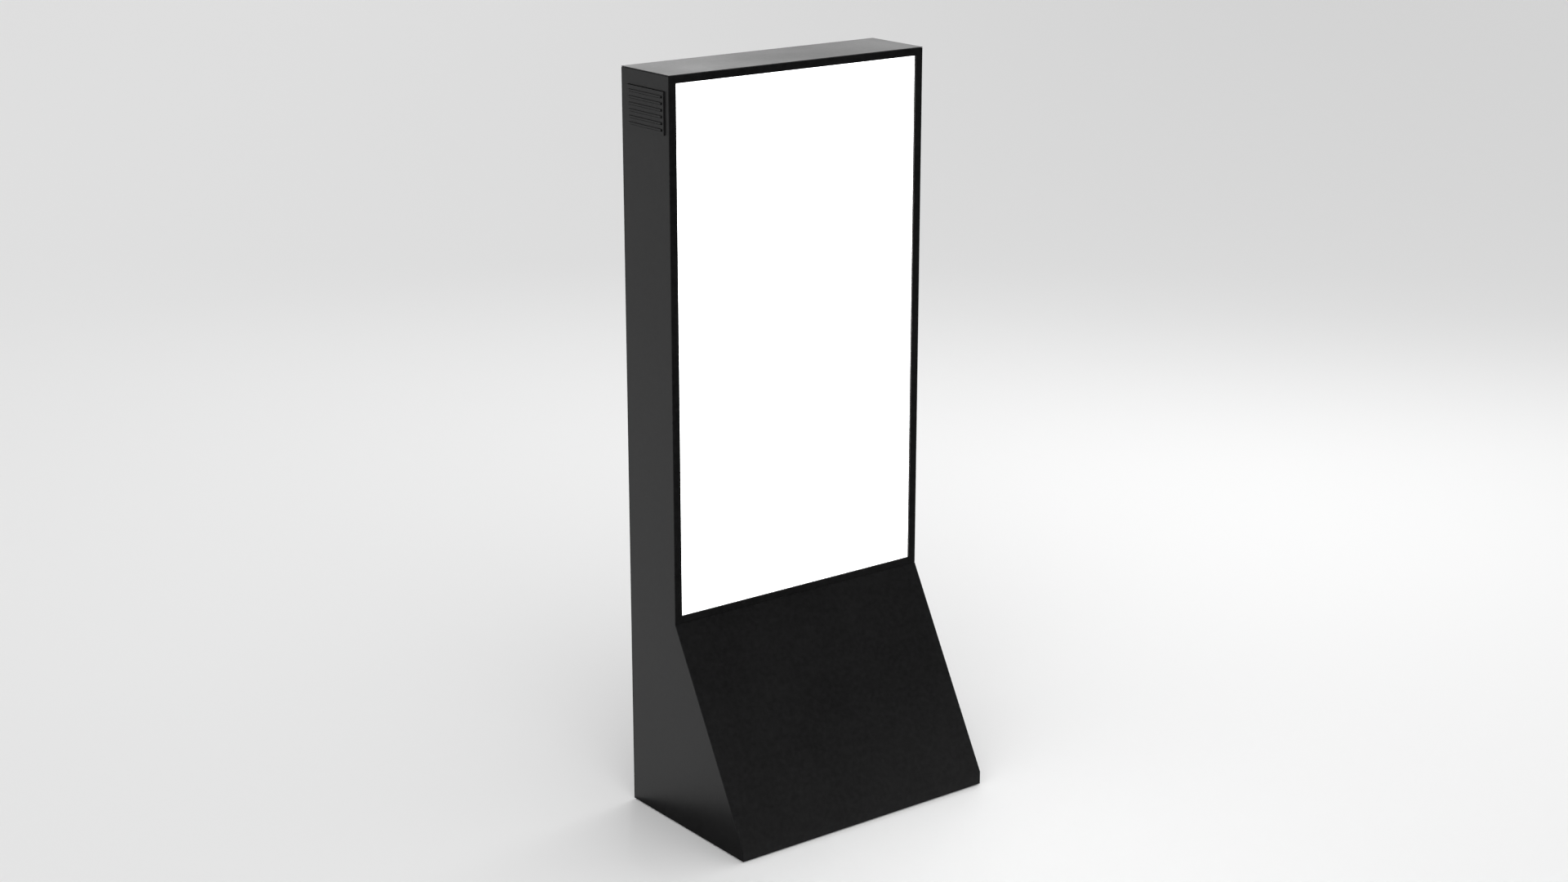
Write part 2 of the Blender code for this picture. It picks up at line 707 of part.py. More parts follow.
def pivot_pin(place, z, sign):
    """A shoulder bolt through the jamb into the door's bush, its head clear of the door."""
    head_start = DOOR_GAP + SHEET + SEAM
    profile = [
        (0, -0.010),
        (PIVOT_RADIUS, -0.010),
        (PIVOT_RADIUS, head_start),
        (PIN_HEAD_RADIUS, head_start),
        (PIN_HEAD_RADIUS, head_start + 0.004),
        (0, head_start + 0.004),
    ]
    profile = [(radius, sign * height) for radius, height in profile]
    return turned(
        f"door_pivot_pin_{place}", profile, (PIVOT_X, PIVOT_Y, z), material="zinc_plated_steel", segments=16,
    )


def pivot_bush(place, z, sign):
    """A flanged bush in the door's edge fold."""
    bore = PIVOT_RADIUS + 0.0003
    sleeve = bore + 0.001
    profile = [
        (bore, -0.006),
        (bore, DOOR_GAP - SEAM),
        (0.0052, DOOR_GAP - SEAM),
        (0.0052, 0.0004),
        (sleeve, 0.0004),
        (sleeve, -0.006),
    ]
    profile = [(radius, sign * height) for radius, height in profile]
    return turned(f"door_bush_{place}", profile, (PIVOT_X, PIVOT_Y, z), material="bush_brass", segments=16)


def rear_door():
    """A shallow tray of sheet with lock holes, intake slots and pivot holes."""
    low = (-DOOR_HALF_WIDTH, BACK_Y - DOOR_FLANGE, DOOR_LOW)
    door = block("rear_door", low, (DOOR_HALF_WIDTH, BACK_Y, DOOR_HIGH), "black_powder_coat")
    well_low = (-DOOR_HALF_WIDTH + SHEET, BACK_Y - DOOR_FLANGE - 0.010, DOOR_LOW + SHEET)
    cut(door, block("door_well", well_low, (DOOR_HALF_WIDTH - SHEET, BACK_Y - SHEET, DOOR_HIGH - SHEET)))
    for place, z in LOCK_HEIGHTS.items():
        hole = rod(LOCK_RADIUS + 0.0003, -0.010, 0.010)
        cut(door, turned(f"lock_hole_{place}", hole, (LOCK_X, BACK_Y, z), "Y"))
    for place, z in (("upper", DOOR_HIGH), ("lower", DOOR_LOW)):
        hole = rod(PIVOT_RADIUS + 0.0016, -0.006, 0.006)
        cut(door, turned(f"bush_hole_{place}", hole, (PIVOT_X, PIVOT_Y, z)))
    for column, x in enumerate(INTAKE_COLUMNS):
        for row in range(INTAKE_ROWS):
            z = INTAKE_LOW + row * INTAKE_PITCH
            cut(door, wall_hole(f"intake_slot_{column}_{row}", (x, z), INTAKE_SLOT))
    return door


def door_seal():
    """A foam strip on the jamb's lip, round the three sides of the door that swing clear of it."""
    ys = (BACK_Y - JAMB_FLANGE + SHEET + SEAM, BACK_Y - DOOR_FLANGE - SEAM)
    outside = DOOR_HALF_WIDTH + 0.001
    inside = DOOR_HALF_WIDTH - 0.009
    low = (-outside, ys[0], DOOR_LOW - 0.001)
    seal = block("door_seal", low, (LIP_END_X - 0.001, ys[1], DOOR_HIGH + 0.001), "black_rubber")
    opening_low = (-inside, ys[0] - 0.010, DOOR_LOW + 0.009)
    cut(seal, block("door_seal_opening", opening_low, (LIP_END_X + 0.010, ys[1] + 0.010, DOOR_HIGH - 0.009)))
    return seal


def intake_filter():
    back = BACK_Y - SHEET - SEAM
    z = INTAKE_LOW + (INTAKE_ROWS - 1) * INTAKE_PITCH / 2
    return block("intake_filter", (-0.150, back - 0.008, z - 0.055), (0.150, back, z + 0.055), "foam_filter")


def lock_barrel(place, z):
    """The fixed sleeve of a cam lock, flush outside and with its nut flange inside the door."""
    bore = 0.0063
    nut_face = SHEET + 0.0004
    profile = [
        (bore, -LOCK_LENGTH),
        (bore, 0.0),
        (LOCK_RADIUS, 0.0),
        (LOCK_RADIUS, -nut_face),
        (LOCK_RADIUS + 0.0035, -nut_face),
        (LOCK_RADIUS + 0.0035, -nut_face - 0.004),
        (LOCK_RADIUS, -nut_face - 0.004),
        (LOCK_RADIUS, -LOCK_LENGTH),
    ]
    return turned(f"lock_barrel_{place}", profile, (LOCK_X, BACK_Y, z), "Y", "lock_chrome")


def lock_plug(place, z):
    """The turning core, with a key slot outside."""
    plug = turned(
        f"lock_plug_{place}", rod(0.0060, -LOCK_LENGTH - SEAM, -SEAM), (LOCK_X, BACK_Y, z), "Y",
        "lock_chrome",
    )
    slot_low = (LOCK_X - 0.0007, BACK_Y - 0.009, z - 0.0042)
    cut(plug, block(f"key_slot_{place}", slot_low, (LOCK_X + 0.0007, BACK_Y + 0.010, z + 0.0042)))
    return plug


def lock_cam(place, z):
    """The flat cam behind the plug. It hangs free, and a quarter turn puts its end behind the jamb's lip."""
    front = BACK_Y - LOCK_LENGTH - 2 * SEAM - 0.0027
    half_width = 0.008
    low = (LOCK_X - half_width, front, z - LOCK_FROM_EDGE + 0.001)
    high = (LOCK_X + half_width, front + 0.0025, z + half_width + 0.001)
    return block(f"lock_cam_{place}", low, high, "zinc_plated_steel")


# Sockets


def power_inlet():
    """The mains inlet module: a flange on the rear wall, a socket well with three pins, a rocker seat
    and a fuse drawer seat."""
    x, z = INLET_CENTRE
    width, height = INLET_SIZE
    outside = BACK_Y - SEAM
    face = BACK_Y - SHEET - SEAM
    inlet = block(
        "power_inlet", (x - width / 2, face - 0.003, z - height / 2), (x + width / 2, face, z + height / 2),
    )
    body_half = (width / 2 - 0.0065, height / 2 - 0.0035)
    body_low = (x - body_half[0], face - 0.028, z - body_half[1])
    add(inlet, block("inlet_body", body_low, (x + body_half[0], outside, z + body_half[1])))
    inlet_well = block(
        "inlet_well", (x - 0.0275, outside - 0.018, z - 0.008), (x - 0.0045, outside + 0.01, z + 0.008),
    )
    cut(inlet, inlet_well)
    for index, (dx, dz) in enumerate(((-0.023, -0.002), (-0.016, 0.003), (-0.009, -0.002))):
        pin_low = (x + dx - 0.001, outside - 0.020, z + dz - 0.002)
        add(inlet, block(f"inlet_pin_{index}", pin_low, (x + dx + 0.001, outside - 0.004, z + dz + 0.002)))
    rocker_seat = block(
        "rocker_seat", (x + 0.0130, outside - 0.012, z - 0.0102), (x + 0.0270, outside + 0.01, z + 0.0102),
    )
    cut(inlet, rocker_seat)
    fuse_seat = block(
        "fuse_seat", (x - 0.0025, outside - 0.022, z - 0.0090), (x + 0.0105, outside + 0.01, z + 0.0090),
    )
    cut(inlet, fuse_seat)
    return inlet


def rocker_switch():
    """A rocker that pivots level across its seat, its origin on the pivot."""
    x, z = INLET_CENTRE
    outside = BACK_Y - SEAM
    pivot = Vector((x + 0.0200, outside - 0.0045, z))
    section = [(-0.0040, -0.0082), (0.0025, -0.0092), (0.0010, 0.0), (0.0025, 0.0092), (-0.0040, 0.0082)]
    tilt = Matrix.Rotation(math.radians(6), 3, "X")
    bm = bmesh.new()
    half = 0.0062
    corners = [bm.verts.new(tilt @ Vector((-half, y, rise))) for y, rise in section]
    face = bm.faces.new(corners)
    grown = bmesh.ops.extrude_face_region(bm, geom=[face])
    moved = [item for item in grown["geom"] if isinstance(item, bmesh.types.BMVert)]
    bmesh.ops.translate(bm, vec=(2 * half, 0, 0), verts=moved)
    return from_bmesh("rocker_switch", bm, "black_plastic", pivot)


def fuse_drawer():
    """A small drawer that slides out of the inlet, with a nail groove in its face."""
    x, z = INLET_CENTRE
    outside = BACK_Y - SEAM
    drawer = block(
        "fuse_drawer", (x - 0.0020, outside - 0.0215, z - 0.0085), (x + 0.0100, outside, z + 0.0085),
    )
    nail_groove = block(
        "nail_groove", (x - 0.0010, outside - 0.0015, z - 0.0010), (x + 0.0090, outside + 0.01, z + 0.0010),
    )
    cut(drawer, nail_groove)
    return drawer


def network_socket():
    """A panel coupler with one jack mouth."""
    x, z = NETWORK_CENTRE
    outside = BACK_Y - SEAM
    face = BACK_Y - SHEET - SEAM
    socket = block("network_socket", (x - 0.014, face - 0.003, z - 0.016), (x + 0.014, face, z + 0.016))
    network_body = block(
        "network_body", (x - 0.0094, face - 0.026, z - 0.0114), (x + 0.0094, outside, z + 0.0114),
    )
    add(socket, network_body)
    network_mouth = block(
        "network_mouth", (x - 0.0059, outside - 0.014, z - 0.004), (x + 0.0059, outside + 0.01, z + 0.004),
    )
    cut(socket, network_mouth)
    return socket


# Leads inside the cabinet


def smooth_path(points, steps):
    """A straight stub at each end, and a Catmull-Rom curve through the points between them."""
    path = [points[0]]
    for before, start, end, after in zip(points, points[1:], points[2:], points[3:]):
        for step in range(steps):
            t = step / steps
            bend = (2 * start, end - before, 2 * before - 5 * start + 4 * end - after)
            last = 3 * start - before - 3 * end + after
            path.append(0.5 * (bend[0] + bend[1] * t + bend[2] * t * t + last * t**3))
    path += points[-2:]
    return path


def lead(name, route, diameter):
    path = smooth_path([Vector(point) for point in route], 4)
    curve = bpy.data.curves.new(name, "CURVE")
    curve.dimensions = "3D"
    curve.bevel_depth = diameter / 2
    curve.bevel_resolution = 2
    curve.use_fill_caps = True
    spline = curve.splines.new("POLY")
    spline.points.add(len(path) - 1)
    for target, point in zip(spline.points, path):
        target.co = (*point, 1.0)
    curve.materials.append(bpy.data.materials["black_rubber"])
    made = bpy.data.objects.new(name, curve)
    bpy.context.scene.collection.objects.link(made)
    return made


def leads():
    """The mains, display, video, touch, network and fan leads, each from one piece's face to the next."""
    gap = 0.0004
    service = FRONT_Y + EQUIPMENT_DEPTH + 0.016
    board = FRONT_Y + 0.0413
    behind = FRONT_Y + 0.112
    inlet_back = BACK_Y - SHEET - SEAM - 0.028 - gap
    network_back = BACK_Y - SHEET - SEAM - 0.026 - gap
    mains = INLET_CENTRE
    network = NETWORK_CENTRE
    fan_y = VENT_MIDDLE_Y + 0.010
    fan_low = VENT_MIDDLE_Z - FAN_SIZE / 2 - gap
    fan_x = FAN_FACE_X - FAN_THICK / 2
    player_top = 0.960 + gap
    supply_top = 0.900 + gap
    stub = 0.010
    made = [
        lead("mains_lead", [
            (mains[0], inlet_back, mains[1]), (mains[0], inlet_back - stub, mains[1]),
            (mains[0], inlet_back - 0.040, mains[1] + 0.050), (0.190, service, 0.300),
            (0.160, service, 0.600),
            (0.160, service, 0.790 - stub), (0.160, service, 0.790 - gap),
        ], 0.008),
        lead("display_lead", [
            (0.120, service, supply_top), (0.120, service, supply_top + stub), (0.115, service, 0.960),
            (0.080, behind - 0.010, 1.010), (0.060, board + 0.010, 1.026),
            (0.060, board, 1.050 - stub), (0.060, board, 1.050 - gap),
        ], 0.006),
        lead("video_lead", [
            (-0.070, service, player_top), (-0.070, service, player_top + stub),
            (-0.065, behind - 0.006, 1.012),
            (-0.060, board + 0.010, 1.024), (-0.060, board, 1.050 - stub), (-0.060, board, 1.050 - gap),
        ], 0.006),
        lead("touch_lead", [
            (-0.180, service, player_top), (-0.180, service, player_top + stub),
            (-0.180, behind - 0.006, 1.012),
            (-0.180, board + 0.010, 1.024), (-0.180, board - 0.002, 1.050 - stub),
            (-0.180, board - 0.002, 1.050 - gap),
        ], 0.004),
        lead("network_lead", [
            (network[0], network_back, network[1]), (network[0], network_back - stub, network[1]),
            (network[0] - 0.004, network_back - 0.040, network[1] + 0.050), (0.060, service, 0.300),
            (-0.080, service, 0.600), (-0.100, service, 0.780 - stub), (-0.100, service, 0.780 - gap),
        ], 0.006),
    ]
    for side, sign, end in (("left", -1, (-0.205, player_top)), ("right", 1, (0.215, supply_top))):
        made.append(lead(f"fan_lead_{side}", [
            (sign * fan_x, fan_y, fan_low), (sign * fan_x, fan_y, fan_low - stub),
            (sign * 0.324, service, 1.400), (sign * 0.260, service, 1.150), (end[0], service, end[1] + 0.060),
            (end[0], service, end[1] + stub), (end[0], service, end[1]),
        ], 0.004))
    return made


# Feet


def levelling_foot(label, x, y):
    """A threaded stem through the base on a broad pad, its origin where the pad meets the floor."""
    profile = [
        (0, 0.0),
        (0.016, 0.0),
        (0.018, 0.002),
        (0.018, 0.006),
        (0.009, 0.010),
        (STEM_RADIUS, 0.010),
        (STEM_RADIUS, 0.060),
        (0, 0.060),
    ]
    return turned(f"levelling_foot_{label}", profile, (x, y, 0), material="zinc_plated_steel")


def build_cabinet():
    fixed = [
        top_cover(), front_bezel(), slope_panel(), base_plate(), ballast_block(), rear_frame(), door_seal(),
    ]
    fixed += display_stack() + boards() + equipment() + leads()
    fixed += [cross_rail("upper", 1.450), cross_rail("lower", 0.700)]
    fixed += [power_inlet(), network_socket()]
    fixed += [pivot_pin("upper", DOOR_HIGH, 1), pivot_pin("lower", DOOR_LOW, -1)]
    for side, sign in (("left", -1), ("right", 1)):
        fixed += [side_panel(side, sign), vent_grille(side, sign), fan_housing(side, sign)]
        fixed += [base_runner(side, sign), frame_upright(side, sign)]
    attach(empty("cabinet"), *fixed)


def build_door():
    hinge = empty("door_hinge_axis", (PIVOT_X, PIVOT_Y, (DOOR_LOW + DOOR_HIGH) / 2))
    pieces = [rear_door(), intake_filter()]
    pieces += [pivot_bush("upper", DOOR_HIGH, 1), pivot_bush("lower", DOOR_LOW, -1)]
    for place, z in LOCK_HEIGHTS.items():
        pieces.append(lock_barrel(place, z))
        axis = empty(f"lock_axis_{place}", (LOCK_X, BACK_Y, z))
        attach(axis, lock_plug(place, z), lock_cam(place, z))
        pieces.append(axis)
    attach(hinge, *pieces)


def build_small_movers():
    for side, sign in (("left", -1), ("right", 1)):
        fan_rotor(side, sign)
    rocker_switch()
    fuse_drawer()
    for label, x, y in foot_places():
        levelling_foot(label, x, y)


clear_scene()
make_materials()
build_cabinet()
build_door()
build_small_movers()
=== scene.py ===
"""The looks of the touchscreen kiosk: its materials, fine surface detail, studio and camera."""

import math
import random

import bmesh
import bpy
from mathutils import Matrix, Vector


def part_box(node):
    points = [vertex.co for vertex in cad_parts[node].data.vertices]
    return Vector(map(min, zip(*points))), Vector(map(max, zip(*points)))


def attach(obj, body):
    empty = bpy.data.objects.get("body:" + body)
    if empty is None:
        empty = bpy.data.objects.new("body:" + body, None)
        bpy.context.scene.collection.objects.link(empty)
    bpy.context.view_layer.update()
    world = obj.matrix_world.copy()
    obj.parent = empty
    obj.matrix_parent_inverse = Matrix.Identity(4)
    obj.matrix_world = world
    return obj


# Camera, in the CAD frame
CAMERA_PLACE = Vector((-3.5896, -4.6233, 2.6585))
CAMERA_YAW = math.radians(-37.249)
CAMERA_PITCH = math.radians(-16.8)
FOCAL_MM = 60.09
SENSOR_MM = 36.0

# Studio: a soft sky made of an even part and broad lobes, each with a direction, a tightness and a strength
SKY_EVEN = 0.28
SKY_LOBES = [
    ((-0.58, -0.76, 0.45), 4, 2.68),
    ((0.85, 0.0, 0.5), 4, 1.08),
]
SKY_SEEN = 0.8
FLOOR_HALF = 40.0
FLOOR_COLOUR = (0.86, 0.86, 0.86)
# Painted light and shade far behind the kiosk: lighter to the left, darker to the right
FLOOR_FAR_LEFT_PAINTED_LIGHT = (0.89, 0.89, 0.89)
FLOOR_FAR_RIGHT_PAINTED_SHADE = (0.73, 0.73, 0.73)
FLOOR_AWAY = (0.605, 0.796, 0.0)
FLOOR_ACROSS = (0.796, -0.605, 0.0)

# Outline in X and Y of a grey card on the floor beside the kiosk: painted shade, standing in for the shaded
# floor in the side's reflection
FLAG_OUTLINE = [(-0.3605, -0.4), (-0.3605, 0.235), (-0.56, -0.05), (-0.56, -0.4)]
FLAG_LIFT = 0.001
FLAG_COLOUR = (0.11, 0.11, 0.11)

# Name, place, aimed at, width and height, power in watts
LIGHTS = [
    ("back_softbox", (3.0, 3.4, 3.2), (0.3, 0.2, 1.7), (3.0, 2.0), 16),
    ("back_left_softbox", (1.2, 4.4, 3.2), (0.0, 0.2, 1.7), (3.0, 2.0), 9),
    ("right_pool", (3.9, 0.2, 2.2), (3.7, 0.2, 0.0), (2.0, 1.0), 2),
    ("near_right_pool", (2.4, 0.9, 2.4), (2.4, 0.9, 0.0), (1.5, 1.0), 11),
    ("front_pool", (0.6, -1.2, 3.2), (0.6, -0.9, 0.0), (1.5, 1.0), 5),
]

# Fine surface: widths of rounded edges, and pitches of the display's cells and the boards' tracks
SHARP_ANGLE = math.radians(35)
PANEL_EDGE = 0.0007
SMALL_EDGE = 0.0003
FINE_EDGE = 0.00015
# Height below which the coat is painted lighter towards the floor, as painted light
PAINTED_LIGHT_HEIGHT = 0.5
DISPLAY_PITCH = 0.00063
TRACK_PITCH = 0.0013

REARWARD = (0, 1, 0)

# Small pieces: places in X and Z unless said otherwise
REAR_SCREW_HEIGHTS = (0.08, 0.4, 0.735, 1.07, 1.405, 1.74)
ROCKER_PIVOT_Y = 0.2165
ROCKER_PIVOT_Z = 0.09
SERVICE_Y = 0.1436
BOARD_FACE_Y = 0.0736
BOARD_THICK = 0.0016
CHASSIS_PANELS = [(-0.31, -0.02, 1.515, 1.735), (0.02, 0.31, 1.515, 1.735), (0.15, 0.31, 1.04, 1.39)]
CHASSIS_BEADS = [
    ((-0.26, 1.565), (-0.07, 1.685)),
    ((0.07, 1.565), (0.26, 1.685)),
    ((0.18, 1.29), (0.28, 1.29)),
    ((0.18, 1.215), (0.28, 1.215)),
    ((0.18, 1.14), (0.28, 1.14)),
    ((-0.31, 1.33), (0.12, 1.33)),
    ((-0.31, 1.38), (0.12, 1.38)),
    ((-0.31, 1.18), (-0.16, 1.18)),
    ((-0.31, 1.24), (-0.16, 1.24)),
]
CHASSIS_SCREW_HEIGHTS = (0.54, 0.86, 1.01, 1.16, 1.31, 1.5, 1.62, 1.74)
HEAT_SINK = (0.0, 1.17, 0.024, 0.0815)
BOARD_CHIPS = [
    (0.07, 1.19, 0.022, 0.022),
    (0.07, 1.14, 0.018, 0.01),
    (-0.06, 1.13, 0.014, 0.014),
    (0.03, 1.11, 0.012, 0.006),
    (-0.02, 1.225, 0.016, 0.008),
    (-0.165, 1.1, 0.01, 0.006),
]
BOARD_CANS = [
    (-0.1, 1.15, 0.005, 0.01),
    (-0.088, 1.15, 0.005, 0.01),
    (-0.1, 1.128, 0.004, 0.008),
    (0.1, 1.222, 0.004, 0.008),
    (0.088, 1.222, 0.004, 0.008),
    (-0.04, 1.09, 0.0032, 0.006),
    (-0.205, 1.085, 0.003, 0.006),
]
# Low and high X, low and high Z, and how many
SMALL_PART_AREAS = [
    (-0.055, 0.055, 1.075, 1.135, 46),
    (0.04, 0.11, 1.155, 1.172, 18),
    (0.084, 0.112, 1.175, 1.21, 14),
    (-0.06, -0.035, 1.145, 1.235, 22),
    (0.000, 0.075, 1.208, 1.24, 26),
    (-0.212, -0.15, 1.066, 1.078, 12),
]
# Middle of the end, direction in which the lead leaves, lead radius, and the plug's width, depth and length
LEAD_ENDS = [
    ((0.2, 0.1908, 0.09), (0, -1, 0), 0.004, None),
    ((0.11, 0.1928, 0.09), (0, -1, 0), 0.003, None),
    ((0.16, 0.1436, 0.79), (0, 0, -1), 0.004, None),
    ((-0.1, 0.1436, 0.78), (0, 0, -1), 0.003, (0.0125, 0.0095, 0.007)),
    ((0.12, 0.1436, 0.9), (0, 0, 1), 0.003, (0.02, 0.01, 0.006)),
    ((0.215, 0.1436, 0.9), (0, 0, 1), 0.002, (0.008, 0.006, 0.005)),
    ((-0.07, 0.1436, 0.96), (0, 0, 1), 0.003, (0.018, 0.008, 0.007)),
    ((-0.18, 0.1436, 0.96), (0, 0, 1), 0.002, (0.013, 0.006, 0.006)),
    ((-0.205, 0.1436, 0.96), (0, 0, 1), 0.002, (0.008, 0.006, 0.005)),
    ((0.06, 0.0788, 1.05), (0, 0, -1), 0.003, None),
    ((-0.06, 0.0788, 1.05), (0, 0, -1), 0.003, None),
    ((-0.18, 0.0768, 1.05), (0, 0, -1), 0.002, None),
    ((-0.338, 0.136, 1.6445), (0, 0, -1), 0.002, None),
    ((0.338, 0.136, 1.6445), (0, 0, -1), 0.002, None),
]
# X, Z, lead radius and lean from upright
LEAD_CLIPS = [(0.16, 0.6, 0.004, 0.0), (-0.08, 0.6, 0.003, -0.33)]
# X, width and depth of each free port on top of the player
PLAYER_PORTS = [
    (-0.15, 0.013, 0.007),
    (-0.132, 0.013, 0.007),
    (-0.105, 0.016, 0.012),
    (-0.04, 0.009, 0.004),
]


# Shader building blocks


def new_material(name, colour, roughness, metallic=0.0, specular=0.5):
    material = bpy.data.materials.new(name)
    material.use_nodes = True
    tree = material.node_tree
    shader = tree.nodes["Principled BSDF"]
    shader.inputs["Base Color"].default_value = (*colour, 1.0)
    shader.inputs["Roughness"].default_value = roughness
    shader.inputs["Metallic"].default_value = metallic
    shader.inputs["Specular IOR Level"].default_value = specular
    return material, tree, shader


def place(tree, stretch=(1, 1, 1), turn=(0, 0, 0)):
    """Object coordinates in metres, stretched along the axes."""
    coordinates = tree.nodes.new("ShaderNodeTexCoord")
    mapping = tree.nodes.new("ShaderNodeMapping")
    mapping.inputs["Scale"].default_value = stretch
    mapping.inputs["Rotation"].default_value = turn
    tree.links.new(coordinates.outputs["Object"], mapping.inputs["Vector"])
    return mapping.outputs["Vector"]


def noise(tree, where, scale, detail=2.0, roughness=0.5):
    texture = tree.nodes.new("ShaderNodeTexNoise")
    texture.inputs["Scale"].default_value = scale
    texture.inputs["Detail"].default_value = detail
    texture.inputs["Roughness"].default_value = roughness
    tree.links.new(where, texture.inputs["Vector"])
    return texture.outputs["Fac"]


def cells(tree, where, scale, feature="F1", output="Distance", metric="EUCLIDEAN"):
    texture = tree.nodes.new("ShaderNodeTexVoronoi")
    texture.feature = feature
    texture.distance = metric
    texture.inputs["Scale"].default_value = scale
    tree.links.new(where, texture.inputs["Vector"])
    return texture.outputs[output]


def spread(tree, value, low, high, out_low=0.0, out_high=1.0):
    """Maps low..high onto out_low..out_high, clamped."""
    node = tree.nodes.new("ShaderNodeMapRange")
    for name, number in (("From Min", low), ("From Max", high), ("To Min", out_low), ("To Max", out_high)):
        node.inputs[name].default_value = number
    tree.links.new(value, node.inputs["Value"])
    return node.outputs["Result"]


def sums(tree, operation, first, second):
    node = tree.nodes.new("ShaderNodeMath")
    node.operation = operation
    for socket, value in zip(node.inputs, (first, second)):
        if isinstance(value, (int, float)):
            socket.default_value = value
        else:
            tree.links.new(value, socket)
    return node.outputs["Value"]


def blend_colours(tree, factor, first, second):
    node = tree.nodes.new("ShaderNodeMix")
    node.data_type = "RGBA"
    sockets = [socket for socket in node.inputs if socket.type == "RGBA"]
    for socket, colour in zip(sockets, (first, second)):
        if isinstance(colour, tuple):
            socket.default_value = (*colour, 1.0)
        else:
            tree.links.new(colour, socket)
    tree.links.new(factor, node.inputs["Factor"])
    return next(socket for socket in node.outputs if socket.type == "RGBA")


def bump(tree, shader, height, distance, strength=1.0, under=None):
    node = tree.nodes.new("ShaderNodeBump")
    node.inputs["Distance"].default_value = distance
    node.inputs["Strength"].default_value = strength
    tree.links.new(height, node.inputs["Height"])
    if under is not None:
        tree.links.new(under, node.inputs["Normal"])
    tree.links.new(node.outputs["Normal"], shader.inputs["Normal"])
    return node.outputs["Normal"]


def tint(tree, shader, factor, first, second):
    """Sets the base colour between two colours."""
    tree.links.new(blend_colours(tree, factor, first, second), shader.inputs["Base Color"])


def roughen(tree, shader, value, low, high, smooth, rough):
    """Sets the roughness from smooth to rough as the value goes from low to high."""
    tree.links.new(spread(tree, value, low, high, smooth, rough), shader.inputs["Roughness"])


def along(tree, vector, direction):
    """How far a vector reaches along a direction."""
    node = tree.nodes.new("ShaderNodeVectorMath")
    node.operation = "DOT_PRODUCT"
    node.inputs[1].default_value = direction
    tree.links.new(vector, node.inputs[0])
    return node.outputs["Value"]


def line_grid(tree, pitch):
    """Distance from the nearest line of a square grid, across and up, each from 0 to a half."""
    where = tree.nodes.new("ShaderNodeSeparateXYZ")
    tree.links.new(place(tree, (1 / pitch, 1, 1 / pitch)), where.inputs["Vector"])
    return [sums(tree, "PINGPONG", where.outputs[axis], 0.5) for axis in ("X", "Z")]


# Materials


def powder_coat(name, specular, painted_light_shift=0.0, gloss=0.0, dust_and_painted_light=0.0):
    """Satin black powder coat with orange peel, fine grit, uneven tone and sheen, a painted tone shift for
    lit and shaded copies, and painted light that turns it lighter towards the floor.
    """
    material, tree, shader = new_material(name, (0.007, 0.007, 0.0073), 0.4, specular=specular)
    where = place(tree)
    broad = noise(tree, where, 5.0, 3.0)
    mottled = noise(tree, where, 85.0, 4.0, 0.6)
    grit = noise(tree, where, 2600.0, 1.0)
    peel = noise(tree, where, 520.0, 2.0)
    tone = sums(tree, "ADD", sums(tree, "MULTIPLY", broad, 0.3), sums(tree, "MULTIPLY", mottled, 0.7))
    # Painted light and shade: the tone shift makes lighter and darker copies of the same coat.
    dark, light = 0.0052 + painted_light_shift, 0.0086 + painted_light_shift
    tone = spread(tree, tone, 0.35, 0.65)
    colour = blend_colours(tree, tone, (dark, dark, dark * 1.04), (light, light, light * 1.03))
    flecks = spread(tree, cells(tree, where, 900.0), 0.0, 0.12, 1.0, 0.0)
    speck = light * 2.2
    colour = blend_colours(tree, sums(tree, "MULTIPLY", flecks, 0.35), colour, (speck, speck, speck))
    # Painted light: the coat is made lighter towards the floor, in patches.
    if dust_and_painted_light:
        height = tree.nodes.new("ShaderNodeSeparateXYZ")
        tree.links.new(where, height.inputs["Vector"])
        painted_floor_light = spread(tree, height.outputs["Z"], 0.0, PAINTED_LIGHT_HEIGHT, dust_and_painted_light, 0.0)
        patchy_painted_light = sums(tree, "MULTIPLY", painted_floor_light, spread(tree, mottled, 0.3, 0.7, 0.85, 1.15))
        colour = blend_colours(tree, patchy_painted_light, colour, (0.1, 0.1, 0.1))
    tree.links.new(colour, shader.inputs["Base Color"])
    sheen = spread(tree, sums(tree, "ADD", broad, sums(tree, "MULTIPLY", mottled, 0.4)), 0.4, 1.0, 0.28, 0.38)
    tree.links.new(sums(tree, "SUBTRACT", sheen, gloss), shader.inputs["Roughness"])
    fine = bump(tree, shader, grit, 0.00002, 0.5)
    bump(tree, shader, peel, 0.0001, 0.35, fine)
    return material


def zinc_plate(name, colour=(0.56, 0.57, 0.59)):
    """Bright zinc on cold-rolled sheet: a faint rolled grain, fine crystals and a few dull stains."""
    material, tree, shader = new_material(name, colour, 0.34, 1.0)
    grain = noise(tree, place(tree, (60, 60, 1.2)), 14.0, 3.0)
    spangle = cells(tree, place(tree), 260.0, output="Distance")
    stain = noise(tree, place(tree), 5.0, 4.0, 0.55)
    darker = tuple(value * 0.82 for value in colour)
    tone = sums(tree, "ADD", sums(tree, "MULTIPLY", stain, 0.5), sums(tree, "MULTIPLY", spangle, 0.2))
    tone = sums(tree, "ADD", tone, sums(tree, "MULTIPLY", grain, 0.4))
    tint(tree, shader, spread(tree, tone, 0.35, 0.8), darker, colour)
    wear = sums(tree, "ADD", stain, sums(tree, "MULTIPLY", grain, 0.5))
    roughen(tree, shader, wear, 0.45, 1.0, 0.26, 0.5)
    bump(tree, shader, grain, 0.00002, 0.4)
    return material


